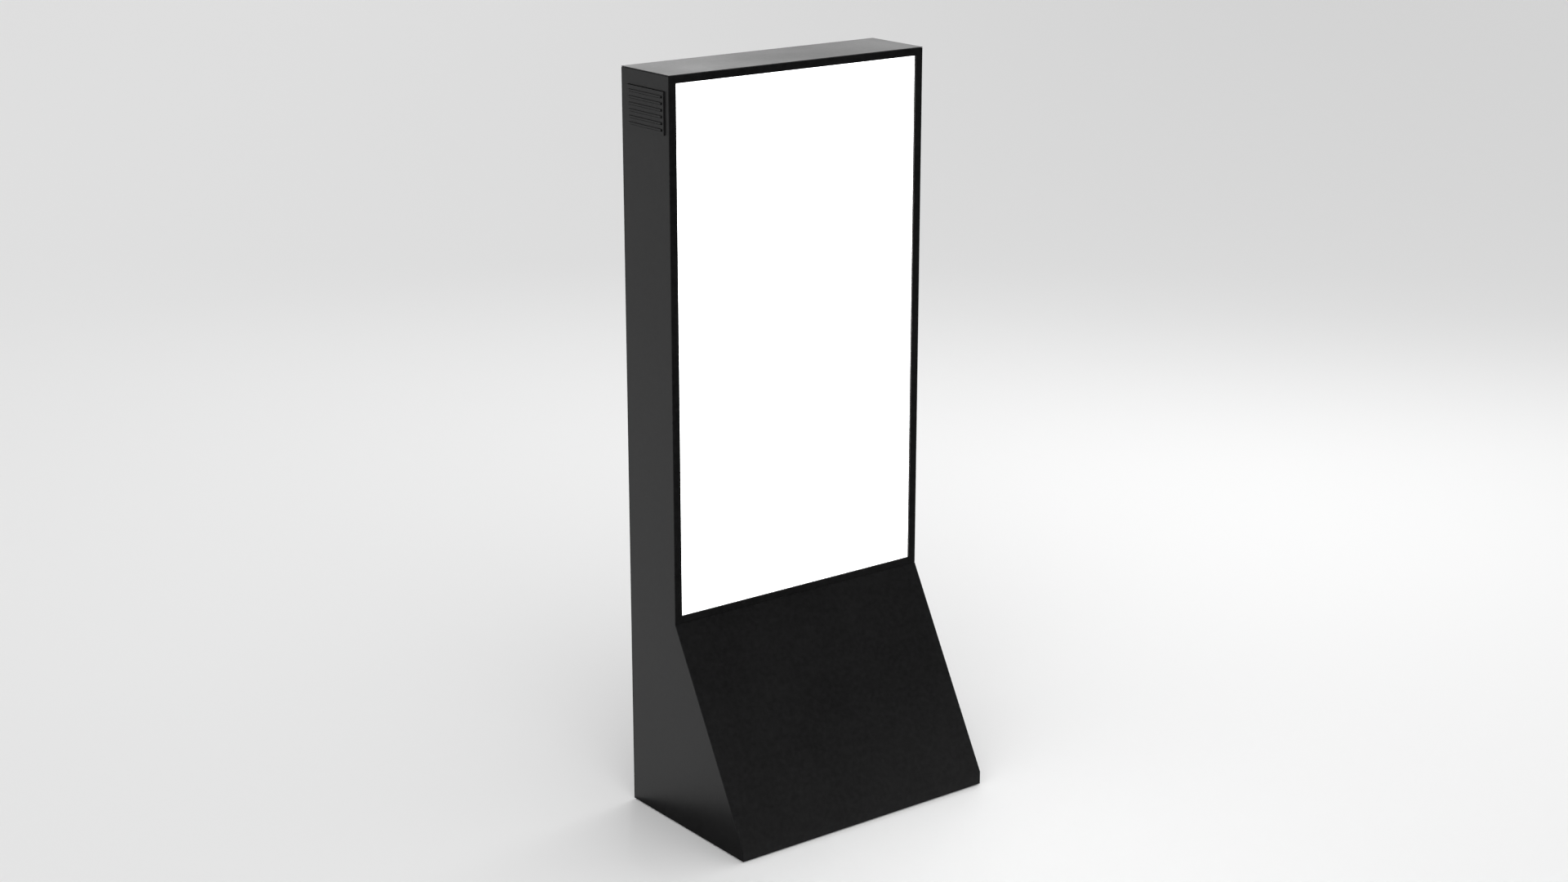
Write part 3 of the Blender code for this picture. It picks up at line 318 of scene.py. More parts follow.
def metal(name, colour, low_roughness, high_roughness, stretch=(1, 1, 1), scale=300.0):
    """A bare or plated metal with a fine grain and handling marks."""
    material, tree, shader = new_material(name, colour, low_roughness, 1.0)
    grain = noise(tree, place(tree, stretch), scale, 2.0)
    marks = noise(tree, place(tree), 45.0, 4.0, 0.65)
    darker = tuple(value * 0.8 for value in colour)
    tint(tree, shader, spread(tree, marks, 0.35, 0.7), colour, darker)
    roughen(tree, shader, sums(tree, "ADD", marks, grain), 0.7, 1.3, low_roughness, high_roughness)
    bump(tree, shader, grain, 0.00002, 0.5)
    return material


def moulded_plastic(name, colour, low_roughness=0.42, high_roughness=0.55):
    """Injection-moulded plastic with a spark-eroded grain."""
    material, tree, shader = new_material(name, colour, low_roughness, specular=0.4)
    grain = cells(tree, place(tree), 1500.0)
    broad = noise(tree, place(tree), 25.0, 3.0)
    lighter = tuple(min(1.0, value * 1.35 + 0.004) for value in colour)
    tint(tree, shader, spread(tree, broad, 0.35, 0.65), colour, lighter)
    roughen(tree, shader, broad, 0.3, 0.7, low_roughness, high_roughness)
    bump(tree, shader, grain, 0.00004, 0.5)
    return material


def rubber(name, colour=(0.016, 0.016, 0.017)):
    material, tree, shader = new_material(name, colour, 0.75, specular=0.3)
    pores = noise(tree, place(tree), 1800.0, 2.0)
    dust_and_painted_light = noise(tree, place(tree), 40.0, 4.0, 0.6)
    dusty = tuple(value + 0.022 for value in colour)
    tint(tree, shader, spread(tree, dust_and_painted_light, 0.5, 0.8, 0.0, 0.6), colour, dusty)
    roughen(tree, shader, dust_and_painted_light, 0.3, 0.7, 0.62, 0.82)
    bump(tree, shader, pores, 0.00004, 0.5)
    return material


def cover_glass():
    """Toughened glass with the faintest smears where people touch it."""
    material, tree, shader = new_material("cover_glass", (0.97, 0.985, 0.98), 0.0)
    shader.inputs["Transmission Weight"].default_value = 1.0
    shader.inputs["IOR"].default_value = 1.46
    smear = noise(tree, place(tree, (1, 1, 0.45)), 14.0, 5.0, 0.7)
    roughen(tree, shader, smear, 0.52, 0.75, 0.0, 0.06)
    return material


def lit_display():
    """A white lit panel, with the fine dark grid between its cells."""
    material, tree, shader = new_material("lit_display", (0.8, 0.81, 0.83), 0.35)
    across, up = line_grid(tree, DISPLAY_PITCH)
    gap = sums(tree, "MINIMUM", across, up)
    light = spread(tree, gap, 0.0, 0.1, 0.86, 1.0)
    clouding = noise(tree, place(tree), 2.5, 2.0)
    light = sums(tree, "MULTIPLY", light, spread(tree, clouding, 0.3, 0.7, 0.97, 1.0))
    grey = blend_colours(tree, light, (0.0, 0.0, 0.0), (1.0, 1.0, 1.0))
    tree.links.new(grey, shader.inputs["Emission Color"])
    shader.inputs["Emission Strength"].default_value = 2.8
    return material


def infrared_filter():
    """Dark red-black acrylic in front of the touch frame's emitters."""
    material, tree, shader = new_material("infrared_filter", (0.012, 0.003, 0.004), 0.1)
    windows = spread(tree, cells(tree, place(tree), 160.0), 0.1, 0.3)
    tint(tree, shader, windows, (0.03, 0.006, 0.008), (0.01, 0.003, 0.004))
    roughen(tree, shader, noise(tree, place(tree), 90.0), 0.3, 0.7, 0.06, 0.16)
    return material


def clear_acrylic():
    material, tree, shader = new_material("clear_acrylic", (0.86, 0.9, 0.9), 0.15)
    dots = cells(tree, place(tree), 400.0)
    tint(tree, shader, spread(tree, dots, 0.1, 0.4), (0.95, 0.96, 0.97), (0.74, 0.79, 0.8))
    roughen(tree, shader, dots, 0.1, 0.5, 0.35, 0.12)
    return material


def circuit_board():
    """Green solder mask over bundles of level and upright copper tracks, with tinned holes."""
    material, tree, shader = new_material("circuit_board", (0.012, 0.11, 0.045), 0.38)
    blocks = tree.nodes.new("ShaderNodeSeparateColor")
    squares = cells(tree, place(tree, (1.0, 0.0, 1.0)), 62.0, output="Color", metric="CHEBYCHEV")
    tree.links.new(squares, blocks.inputs["Color"])
    upright = spread(tree, blocks.outputs["Red"], 0.49, 0.51)
    across, level = line_grid(tree, TRACK_PITCH)
    chosen = tree.nodes.new("ShaderNodeMix")
    for socket, value in (("Factor", upright), ("A", level), ("B", across)):
        tree.links.new(value, chosen.inputs[socket])
    track = spread(tree, chosen.outputs["Result"], 0.13, 0.19, 1.0, 0.0)
    present = spread(tree, blocks.outputs["Green"], 0.34, 0.36)
    mask = sums(tree, "MULTIPLY", track, present)
    colour = blend_colours(tree, mask, (0.006, 0.062, 0.026), (0.018, 0.135, 0.055))
    holes = spread(tree, cells(tree, place(tree, (1.0, 0.0, 1.0)), 210.0), 0.1, 0.13, 1.0, 0.0)
    colour = blend_colours(tree, holes, colour, (0.42, 0.4, 0.33))
    tree.links.new(colour, shader.inputs["Base Color"])
    roughen(tree, shader, noise(tree, place(tree), 200.0), 0.3, 0.7, 0.28, 0.45)
    bump(tree, shader, mask, 0.00004, 0.8)
    return material


def filter_foam():
    material, tree, shader = new_material("filter_foam", (0.05, 0.05, 0.052), 0.95, specular=0.2)
    open_cells = cells(tree, place(tree), 480.0, "DISTANCE_TO_EDGE")
    # Painted shade: the pores are painted near black and the walls between them lighter.
    walls = spread(tree, open_cells, 0.02, 0.16, 1.0, 0.0)
    tint(tree, shader, walls, (0.006, 0.006, 0.006), (0.085, 0.085, 0.09))
    roughen(tree, shader, noise(tree, place(tree), 300.0), 0.3, 0.7, 0.85, 1.0)
    bump(tree, shader, walls, 0.0006, 1.0)
    return material


def fade(tree, direction, low, high):
    """0 to 1 between two distances along a direction on the floor."""
    where = tree.nodes.new("ShaderNodeTexCoord").outputs["Object"]
    ramp = tree.nodes.new("ShaderNodeMapRange")
    ramp.interpolation_type = "SMOOTHSTEP"
    ramp.inputs["From Min"].default_value = low
    ramp.inputs["From Max"].default_value = high
    tree.links.new(along(tree, where, direction), ramp.inputs["Value"])
    return ramp.outputs["Result"]


def studio_floor():
    """Pale floor with painted light and shade far behind the kiosk: a little lighter to the left and greyer
    to the right.
    """
    material, tree, shader = new_material("studio_floor", FLOOR_COLOUR, 0.55, specular=0.35)
    far = blend_colours(tree, fade(tree, FLOOR_ACROSS, -5.0, 6.0), FLOOR_FAR_LEFT_PAINTED_LIGHT, FLOOR_FAR_RIGHT_PAINTED_SHADE)
    tint(tree, shader, fade(tree, FLOOR_AWAY, 2.6, 5.0), FLOOR_COLOUR, far)
    return material


# Carried-over CAD nodes


def joined_faces():
    """A node group that joins the faces of an imported part and shades its round ones smooth."""
    group = bpy.data.node_groups.new("joined_faces", "GeometryNodeTree")
    group.interface.new_socket("Geometry", in_out="INPUT", socket_type="NodeSocketGeometry")
    group.interface.new_socket("Geometry", in_out="OUTPUT", socket_type="NodeSocketGeometry")
    nodes, links = group.nodes, group.links
    merge = nodes.new("GeometryNodeMergeByDistance")
    merge.inputs["Distance"].default_value = 0.00001
    forget = nodes.new("GeometryNodeRemoveAttribute")
    forget.inputs["Name"].default_value = "custom_normal"
    angle = nodes.new("GeometryNodeInputMeshEdgeAngle")
    gentle = nodes.new("FunctionNodeCompare")
    gentle.operation = "LESS_THAN"
    gentle.inputs["B"].default_value = SHARP_ANGLE
    links.new(angle.outputs["Unsigned Angle"], gentle.inputs["A"])
    edges = nodes.new("GeometryNodeSetShadeSmooth")
    edges.domain = "EDGE"
    links.new(gentle.outputs["Result"], edges.inputs["Shade Smooth"])
    faces = nodes.new("GeometryNodeSetShadeSmooth")
    start, end = nodes.new("NodeGroupInput"), nodes.new("NodeGroupOutput")
    chain = (start, merge, forget, edges, faces, end)
    for first, second in zip(chain, chain[1:]):
        links.new(first.outputs[0], second.inputs[0])
    return group


def join_faces(node, materials, group):
    slots = node.data.materials
    slots.clear()
    for material in materials:
        slots.append(material)
    for face in node.data.polygons:
        face.material_index = 0
    node.modifiers.new("joined_faces", "NODES").node_group = group


def dress(node, materials, group, edge):
    """Gives a CAD node its material and small rounded edges, in their own material where there are two; on
    the coats that edge material is a lighter copy, a painted highlight.
    """
    join_faces(node, materials, group)
    round_edges(node, edge, len(materials) - 1)


def round_edges(node, edge, edge_slot):
    flat = node.modifiers.new("join_flat_faces", "DECIMATE")
    flat.decimate_type = "DISSOLVE"
    flat.angle_limit = math.radians(0.5)
    flat.delimit = {"MATERIAL"}
    bevel(node, edge, 3).material = edge_slot


def bevel(target, width, segments):
    rounded = target.modifiers.new("round_edges", "BEVEL")
    rounded.width = width
    rounded.segments = segments
    rounded.limit_method = "ANGLE"
    rounded.angle_limit = SHARP_ANGLE
    rounded.harden_normals = True
    return rounded


def dress_board(node, board, chip, post, group):
    """A circuit board whose standoffs are metal and whose tall parts are black plastic."""
    join_faces(node, [board, chip, post], group)
    for face in node.data.polygons:
        if face.center.y > BOARD_FACE_Y + 0.0001:
            face.material_index = 1
        elif face.center.y < BOARD_FACE_Y - BOARD_THICK - 0.0001:
            face.material_index = 2
    round_edges(node, SMALL_EDGE, -1)


def dress_lead(node, material, group):
    """A lead with its bends made smooth."""
    join_faces(node, [material], group)
    smooth = node.modifiers.new("smooth_bends", "SUBSURF")
    smooth.levels = 1
    smooth.render_levels = 1


def dress_all(nodes):
    coat = powder_coat("powder_coat", 0.29)
    # Painted highlight: the edge copies of the coats below are lighter, for their rounded edges.
    coat_edge = powder_coat("powder_coat_edge", 0.29, 0.002, 0.04)
    # Painted shade: the slope and bezel coats below are darker, less reflective copies of the same coat.
    shaded_slope_coat = powder_coat("shaded_front_powder_coat", 0.06, -0.0026, dust_and_painted_light=0.047)
    slope_edge = powder_coat("shaded_front_powder_coat_edge", 0.08, 0.002, 0.04, dust_and_painted_light=0.05)
    shaded_bezel_coat = powder_coat("bezel_powder_coat", 0.04, -0.0036)
    bezel_edge = powder_coat("bezel_powder_coat_edge", 0.06, -0.002, 0.04)
    zinc = zinc_plate("zinc_plate")
    plastic = moulded_plastic("black_plastic", (0.016, 0.016, 0.017))
    black_rubber = rubber("black_rubber")
    aluminium = metal("anodised_aluminium", (0.42, 0.43, 0.45), 0.3, 0.45, (1, 1, 30))
    brass = metal("turned_brass", (0.66, 0.47, 0.2), 0.22, 0.38)
    chrome = metal("lock_chrome", (0.72, 0.72, 0.74), 0.1, 0.24)
    boards = circuit_board()
    looks = {
        "touch_frame": infrared_filter(),
        "touch_glass": cover_glass(),
        "glass_gasket": black_rubber,
        "lcd_panel": lit_display(),
        "light_guide": clear_acrylic(),
        "media_player": aluminium,
        "power_supply": aluminium,
        "power_inlet": plastic,
        "network_socket": plastic,
        "rocker_switch": plastic,
        "fuse_drawer": plastic,
        "door_seal": black_rubber,
        "intake_filter": filter_foam(),
        "ballast_block": metal("mill_steel", (0.12, 0.12, 0.125), 0.5, 0.7),
    }
    group = joined_faces()
    # Start of the name, materials, and width of the rounded edges
    rules = [
        ("front_slope_panel", [shaded_slope_coat, slope_edge], PANEL_EDGE),
        ("front_bezel", [shaded_bezel_coat, bezel_edge], PANEL_EDGE),
        (("left_side_panel", "right_side_panel", "top_cover", "rear_"), [coat, coat_edge], PANEL_EDGE),
        (("fan_housing", "fan_rotor"), [plastic], SMALL_EDGE),
        ("door_bush", [brass], FINE_EDGE),
        (("lock_barrel", "lock_plug"), [chrome], FINE_EDGE),
        ("", [zinc], SMALL_EDGE),
    ]
    for name, node in nodes.items():
        if name in looks:
            dress(node, [looks[name]], group, SMALL_EDGE)
        elif name.endswith("_board"):
            dress_board(node, boards, plastic, brass, group)
        elif name.startswith("vent_grille"):
            join_faces(node, [coat], group)
        elif "_lead" in name:
            dress_lead(node, black_rubber, group)
        else:
            materials, edge = next(rule[1:] for rule in rules if name.startswith(rule[0]))
            dress(node, materials, group, edge)


# Mesh building for the small pieces


def circle(_angle):
    return 1.0


def hexagon(angle):
    """Reach of a hexagon whose flats are at 1."""
    return 1.0 / math.cos((angle + math.pi / 6) % (math.pi / 3) - math.pi / 6)


def star(angle):
    return 1.0 + 0.16 * math.cos(6 * angle)


def axes(direction):
    """Two directions square to the given one."""
    up = Vector((0, 0, 1)) if abs(direction.z) < 0.9 else Vector((1, 0, 0))
    across = up.cross(direction).normalized()
    return across, direction.cross(across)


def join_rings(bm, rings, closed):
    pairs = list(zip(rings, rings[1:]))
    if closed:
        pairs.append((rings[-1], rings[0]))
    count = len(rings[0])
    for first, second in pairs:
        for step in range(count):
            after = (step + 1) % count
            bm.faces.new((first[step], first[after], second[after], second[step]))
    if not closed:
        bm.faces.new(rings[0])
        bm.faces.new(rings[-1])


def turn(bm, at, direction, profile, hollow=False, points=24):
    """Rings round an axis, each a (radius, height) with a shape of its own where it isn't round."""
    at = Vector(at)
    direction = Vector(direction).normalized()
    across, up = axes(direction)
    rings = []
    for radius, height, *shape in profile:
        reach = shape[0] if shape else circle
        ring = []
        for step in range(points):
            angle = 2 * math.pi * step / points
            out = (across * math.cos(angle) + up * math.sin(angle)) * radius * reach(angle)
            ring.append(bm.verts.new(at + direction * height + out))
        rings.append(ring)
    join_rings(bm, rings, hollow)


def bar(bm, low, high):
    """A box between two corners."""
    made = bmesh.ops.create_cube(bm, size=1.0)["verts"]
    low, high = Vector(low), Vector(high)
    bmesh.ops.scale(bm, vec=high - low, verts=made)
    bmesh.ops.translate(bm, vec=(low + high) / 2, verts=made)


def pad(bm, x, z, half_width, half_height, back, front):
    """A box given by its middle in X and Z, and by its two ends in Y."""
    bar(bm, (x - half_width, back, z - half_height), (x + half_width, front, z + half_height))


def strip(half_across, half_out):
    """The section of a flat strip, for a sweep."""
    return [
        (-half_across, -half_out),
        (half_across, -half_out),
        (half_across, half_out),
        (-half_across, half_out),
    ]


def sweep(bm, path, normal, section, closed=False):
    """A section of (sideways, outwards) points carried along a flat path, mitred at its corners."""
    normal = Vector(normal)
    path = [Vector(point) for point in path]
    count = len(path)
    rings = []
    for index, point in enumerate(path):
        ways = []
        if closed or index > 0:
            ways.append((point - path[index - 1]).normalized())
        if closed or index < count - 1:
            ways.append((path[(index + 1) % count] - point).normalized())
        way = sum(ways, Vector()).normalized()
        side = normal.cross(way)
        side *= 1.0 / max(0.3, way.dot(ways[0]))
        rings.append([bm.verts.new(point + side * across + normal * out) for across, out in section])
    join_rings(bm, rings, closed)


def rounded_loop(x_low, x_high, z_low, z_high, radius, y, steps=4):
    """Points round a rectangle with round corners, square to Y."""
    corners_at = [
        (x_high - radius, z_high - radius, 0.0),
        (x_low + radius, z_high - radius, 0.5),
        (x_low + radius, z_low + radius, 1.0),
        (x_high - radius, z_low + radius, 1.5),
    ]
    path = []
    for x, z, start in corners_at:
        for step in range(steps + 1):
            angle = math.pi * (start + 0.5 * step / steps)
            path.append((x + radius * math.cos(angle), y, z + radius * math.sin(angle)))
    return path


def rod_section(radius, points):
    """Points evenly round a circle."""
    angles = [2 * math.pi * step / points for step in range(points)]
    return [(radius * math.cos(angle), radius * math.sin(angle)) for angle in angles]


def mesh_object(name, bm, material):
    """Turns a finished bmesh into an object of the scene."""
    mesh = bpy.data.meshes.new(name)
    bm.to_mesh(mesh)
    bm.free()
    mesh.materials.append(material)
    made = bpy.data.objects.new(name, mesh)
    bpy.context.scene.collection.objects.link(made)
    return made


def piece(name, bm, material, body, edge=0.0):
    """An object of this mesh that rides on a body, with its sharp edges a little rounded."""
    bmesh.ops.recalc_face_normals(bm, faces=bm.faces)
    made = mesh_object(name, bm, material)
    made.data.shade_smooth()
    made.data.set_sharp_from_angle(angle=SHARP_ANGLE)
    if edge:
        bevel(made, edge, 2)
    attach(made, body)


# Fasteners


def button_screw(bm, at, direction, radius):
    """A low domed head with a six-lobed recess."""
    rise = radius * 0.42
    profile = [
        (radius, -0.0002),
        (radius, rise * 0.35),
        (radius * 0.86, rise * 0.8),
        (radius * 0.62, rise),
        (radius * 0.42, rise, star),
        (radius * 0.38, rise * 0.2, star),
    ]
    turn(bm, at, direction, profile)


def flush_screw(bm, at, direction, radius):
    """A countersunk head with a fine joint round it and a six-lobed recess."""
    profile = [
        (radius, -0.0002),
        (radius, 0.00015),
        (radius * 0.94, 0.00025),
        (radius * 0.44, 0.00025, star),
        (radius * 0.4, 0.00005, star),
    ]
    turn(bm, at, direction, profile)


def hex_bolt(bm, at, direction, flat):
    """A hexagon head on a plain washer. flat is half the distance across its flats."""
    washer = flat * 0.22
    turn(bm, at, direction, [(flat * 1.7, -0.0002), (flat * 1.7, washer * 0.8), (flat * 1.62, washer)])
    profile = [
        (flat, washer - 0.0001, hexagon),
        (flat, washer + flat * 0.52, hexagon),
        (flat * 0.97, washer + flat * 0.66),
        (flat * 0.6, washer + flat * 0.66),
        (flat * 0.56, washer + flat * 0.6),
    ]
    turn(bm, at, direction, profile)


def hex_nut(bm, at, direction, flat, bore, height):
    profile = [
        (flat * 0.97, 0.0),
        (flat, height * 0.12, hexagon),
        (flat, height * 0.88, hexagon),
        (flat * 0.97, height),
        (bore * 1.12, height),
        (bore, height * 0.9),
        (bore, height * 0.1),
        (bore * 1.12, 0.0),
    ]
    turn(bm, at, direction, profile, hollow=True)


# Small pieces


def screws(name, places, direction, radius, material, body, head=button_screw):
    bm = bmesh.new()
    for place_at in places:
        head(bm, place_at, direction, radius)
    piece(name, bm, material, body)


def box_middle(name):
    low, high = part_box(name)
    return (low + high) / 2


def zinc_piece(name, bm, looks, body="cabinet", edge=0.0):
    """A bright plated piece."""
    piece(name, bm, looks["bright_screws"], body, edge)


def corner_spots(low, high, inset, y):
    """Places inside the four corners of a box's face."""
    return [(x, y, z) for x in (low.x + inset, high.x - inset) for z in (low.z + inset, high.z - inset)]


def zinc_screws(name, places, radius, looks, head=button_screw, direction=REARWARD, body="cabinet"):
    screws(name, places, direction, radius, looks["bright_screws"], body, head)


def outside_screws(looks):
    """Security screws round the rear frame and at the two sockets."""
    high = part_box("rear_frame")[1]
    door_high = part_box("rear_door")[1]
    face = high.y
    side = (high.x + door_high.x) / 2
    spots = [(sign * side, face, z) for sign in (-1, 1) for z in REAR_SCREW_HEIGHTS]
    spots += [(x, face, (high.z + door_high.z) / 2) for x in (-0.23, 0.0, 0.23)]
    spots += [(x, face, 0.02) for x in (-0.23, 0.0, 0.23)]
    black = looks["black_screws"]
    screws("rear_frame_screws", spots, REARWARD, 0.0042, black, "cabinet")
    middle = box_middle("power_inlet")
    spots = [(middle.x + sign * 0.0342, face, middle.z) for sign in (-1, 1)]
    zinc_screws("inlet_screws", spots, 0.0026, looks, flush_screw)
    middle = box_middle("network_socket")
    spots = [(middle.x, face, middle.z + sign * 0.0144) for sign in (-1, 1)]
    zinc_screws("network_screws", spots, 0.0017, looks, flush_screw)


def socket_details(looks):
    """Plated pins in the mains inlet, contacts in the network jack, and marks on the rocker."""
    low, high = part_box("power_inlet")
    middle = (low + high) / 2
    bm = bmesh.new()
    for across, up in ((-0.023, -0.002), (-0.016, 0.003), (-0.009, -0.002)):
        x, z = middle.x + across, middle.z + up
        pad(bm, x, z, 0.00112, 0.00212, high.y - 0.0172, high.y - 0.0038)
    piece("inlet_pin_plating", bm, looks["tin"], "cabinet", 0.0003)
    low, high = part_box("network_socket")
    middle = (low + high) / 2
    bm = bmesh.new()
    top = middle.z + 0.004
    for index in range(8):
        x = middle.x + (index - 3.5) * 0.00102
        path = [
            (x, high.y - 0.0139, top - 0.0006),
            (x, high.y - 0.01, top - 0.0008),
            (x, high.y - 0.003, top - 0.003),
            (x, high.y - 0.0022, top - 0.0016),
        ]
        sweep(bm, path, (1, 0, 0), strip(0.00012, 0.0002))
    piece("network_contacts", bm, looks["gold"], "cabinet")
    low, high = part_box("rocker_switch")
    bm = bmesh.new()
    pivot = Vector(((low.x + high.x) / 2, ROCKER_PIVOT_Y, ROCKER_PIVOT_Z))
    tilt = Matrix.Rotation(math.radians(6), 3, "X")
    for sign in (-1, 1):
        outer, inner = Vector((0, 0.0025, sign * 0.0092)), Vector((0, 0.001, 0))
        centre = pivot + tilt @ ((outer + inner) / 2)
        up = (tilt @ (outer - inner)).normalized() * sign
        out = Vector((1, 0, 0)).cross(up)
        out = out if out.y > 0 else -out
        centre = centre + out * 0.00002
        if sign > 0:
            ends = [centre - up * 0.0019, centre + up * 0.0019]
            sweep(bm, ends, out, strip(0.0003, 0.00005))
        else:
            ring = [(0.0021, -0.00005), (0.0021, 0.00005), (0.0016, 0.00005), (0.0016, -0.00005)]
            turn(bm, centre, out, ring, hollow=True)
    piece("rocker_marks", bm, looks["white_print"], "rocker")


def lock_details(looks):
    """A bright ring round each lock outside, its hexagon nut and the cam's screw inside."""
    for place_name in ("upper", "lower"):
        low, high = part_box(f"lock_barrel_{place_name}")
        x, z = (low.x + high.x) / 2, (low.z + high.z) / 2
        bm = bmesh.new()
        ring = [
            (0.0098, -0.0002),
            (0.0128, -0.0002),
            (0.0128, 0.0003),
            (0.012, 0.0009),
            (0.0107, 0.001),
            (0.0098, 0.0004),
        ]
        turn(bm, (x, high.y, z), REARWARD, ring, hollow=True, points=48)
        piece(f"lock_ring_{place_name}", bm, looks["chrome"], "door")
        bm = bmesh.new()
        hex_nut(bm, (x, high.y - 0.0068, z), REARWARD, 0.0145, 0.0096, 0.004)
        zinc_piece(f"lock_nut_{place_name}", bm, looks, "door", 0.0002)
        cam_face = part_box(f"lock_cam_{place_name}")[0].y
        bm = bmesh.new()
        hex_bolt(bm, (x, cam_face, z), (0, -1, 0), 0.003)
        zinc_piece(f"lock_cam_screw_{place_name}", bm, looks, f"lock_{place_name}")


def filter_frame(looks):
    """A folded frame with four studs that holds the intake filter to the door."""
    low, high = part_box("intake_filter")
    bm = bmesh.new()
    path = rounded_loop(low.x - 0.001, high.x + 0.001, low.z - 0.001, high.z + 0.001, 0.003, 0.0)
    wall = high.y + 0.0004
    lip = low.y - 0.0012
    section = [
        (0.0, lip),
        (0.0, wall - 0.001),
        (-0.01, wall - 0.001),
        (-0.01, wall),
        (0.001, wall),
        (0.001, lip + 0.001),
        (0.009, lip + 0.001),
        (0.009, lip),
    ]
    sweep(bm, path, REARWARD, section, closed=True)
    piece("intake_filter_frame", bm, looks["zinc"], "door", 0.0003)
    heights = (low.z - 0.006, high.z + 0.006)
    spots = [(x, wall - 0.001, z) for x in (low.x + 0.02, high.x - 0.02) for z in heights]
    zinc_screws("filter_frame_screws", spots, 0.0026, looks, direction=(0, -1, 0), body="door")


def chassis_details(looks):
    """Pressed beads and rim screws on the back of the display chassis."""
    low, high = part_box("display_chassis")
    face = high.y
    bm = bmesh.new()
    half, rise = 0.0045, 0.0016
    section = [
        (-half, -0.0003),
        (half, -0.0003),
        (half * 0.6, rise * 0.8),
        (0.0, rise),
        (-half * 0.6, rise * 0.8),
    ]
    for x_low, x_high, z_low, z_high in CHASSIS_PANELS:
        sweep(bm, rounded_loop(x_low, x_high, z_low, z_high, 0.02, face), REARWARD, section, closed=True)
    for start, end in CHASSIS_BEADS:
        sweep(bm, [(start[0], face, start[1]), (end[0], face, end[1])], REARWARD, section)
    piece("chassis_beads", bm, looks["zinc"], "cabinet", 0.0004)
    spots = [(x, face, z) for x in (low.x + 0.01, high.x - 0.01) for z in CHASSIS_SCREW_HEIGHTS]
    spots += [(x, face, z) for x in (-0.22, 0.0, 0.22) for z in (low.z + 0.01, high.z - 0.01)]
    zinc_screws("chassis_screws", spots, 0.003, looks)


def frame_bolts(looks):
    """Bolts through the cross rails, the equipment plate, the base plate, the runners and the ballast."""
    for place_name in ("upper", "lower"):
        low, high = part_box(f"cross_rail_{place_name}")
        middle = (low.z + high.z) / 2
        spots = [(x, low.y + 0.002, middle) for x in (-0.24, -0.09, 0.09, 0.24)]
        zinc_screws(f"cross_rail_bolts_{place_name}", spots, 0.005, looks, hex_bolt)
    low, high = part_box("equipment_plate")
    spots = [(sign * 0.29, high.y, z) for sign in (-1, 1) for z in (low.z + 0.02, 0.78, high.z - 0.02)]
    zinc_screws("plate_bolts", spots, 0.005, looks, hex_bolt)
    low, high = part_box("base_plate")
    spots = [(x, y, low.z) for x in (-0.29, 0.29) for y in (-0.06, 0.02, 0.1)]
    spots += [(x, y, low.z) for x in (-0.15, 0.15) for y in (-0.12, -0.05)]
    zinc_screws("base_plate_bolts", spots, 0.005, looks, hex_bolt, (0, 0, -1))
    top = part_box("ballast_block")[1].z
    spots = [(x, -0.085, top) for x in (-0.18, 0.18)]
    bright = looks["bright_screws"]
    screws("ballast_bolts", spots, (0, 0, 1), 0.0065, bright, "cabinet", hex_bolt)


def foot_details(looks):
    """Threads and a rubber sole on each foot, and a locknut where its stem leaves the runner."""
    for name in sorted(frame["nodes"]):
        if not name.startswith("levelling_foot_"):
            continue
        place_name = name.removeprefix("levelling_foot_")
        low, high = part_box(name)
        x, y = (low.x + high.x) / 2, (low.y + high.y) / 2
        bm = bmesh.new()
        ridges = []
        for index in range(16):
            ridges += [(0.005, 0.0462 + index * 0.0008), (0.00535, 0.0466 + index * 0.0008)]
        turn(bm, (x, y, 0), (0, 0, 1), [(0.0046, 0.0461)] + ridges + [(0.0046, 0.0592)], points=16)
        zinc_piece(f"foot_thread_{place_name}", bm, looks, f"foot_{place_name}")
        bm = bmesh.new()
        sole = [
            (0.0166, 0.0002),
            (0.0186, 0.0024),
            (0.0186, 0.0052),
            (0.0176, 0.0056),
            (0.0176, 0.002),
            (0.0156, 0.0006),
        ]
        turn(bm, (x, y, 0), (0, 0, 1), sole, hollow=True, points=32)
        piece(f"foot_sole_{place_name}", bm, looks["rubber"], f"foot_{place_name}")
        bm = bmesh.new()
        hex_nut(bm, (x, y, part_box("base_runner_left")[1].z), (0, 0, 1), 0.0085, 0.0057, 0.005)
        zinc_piece(f"foot_locknut_{place_name}", bm, looks)


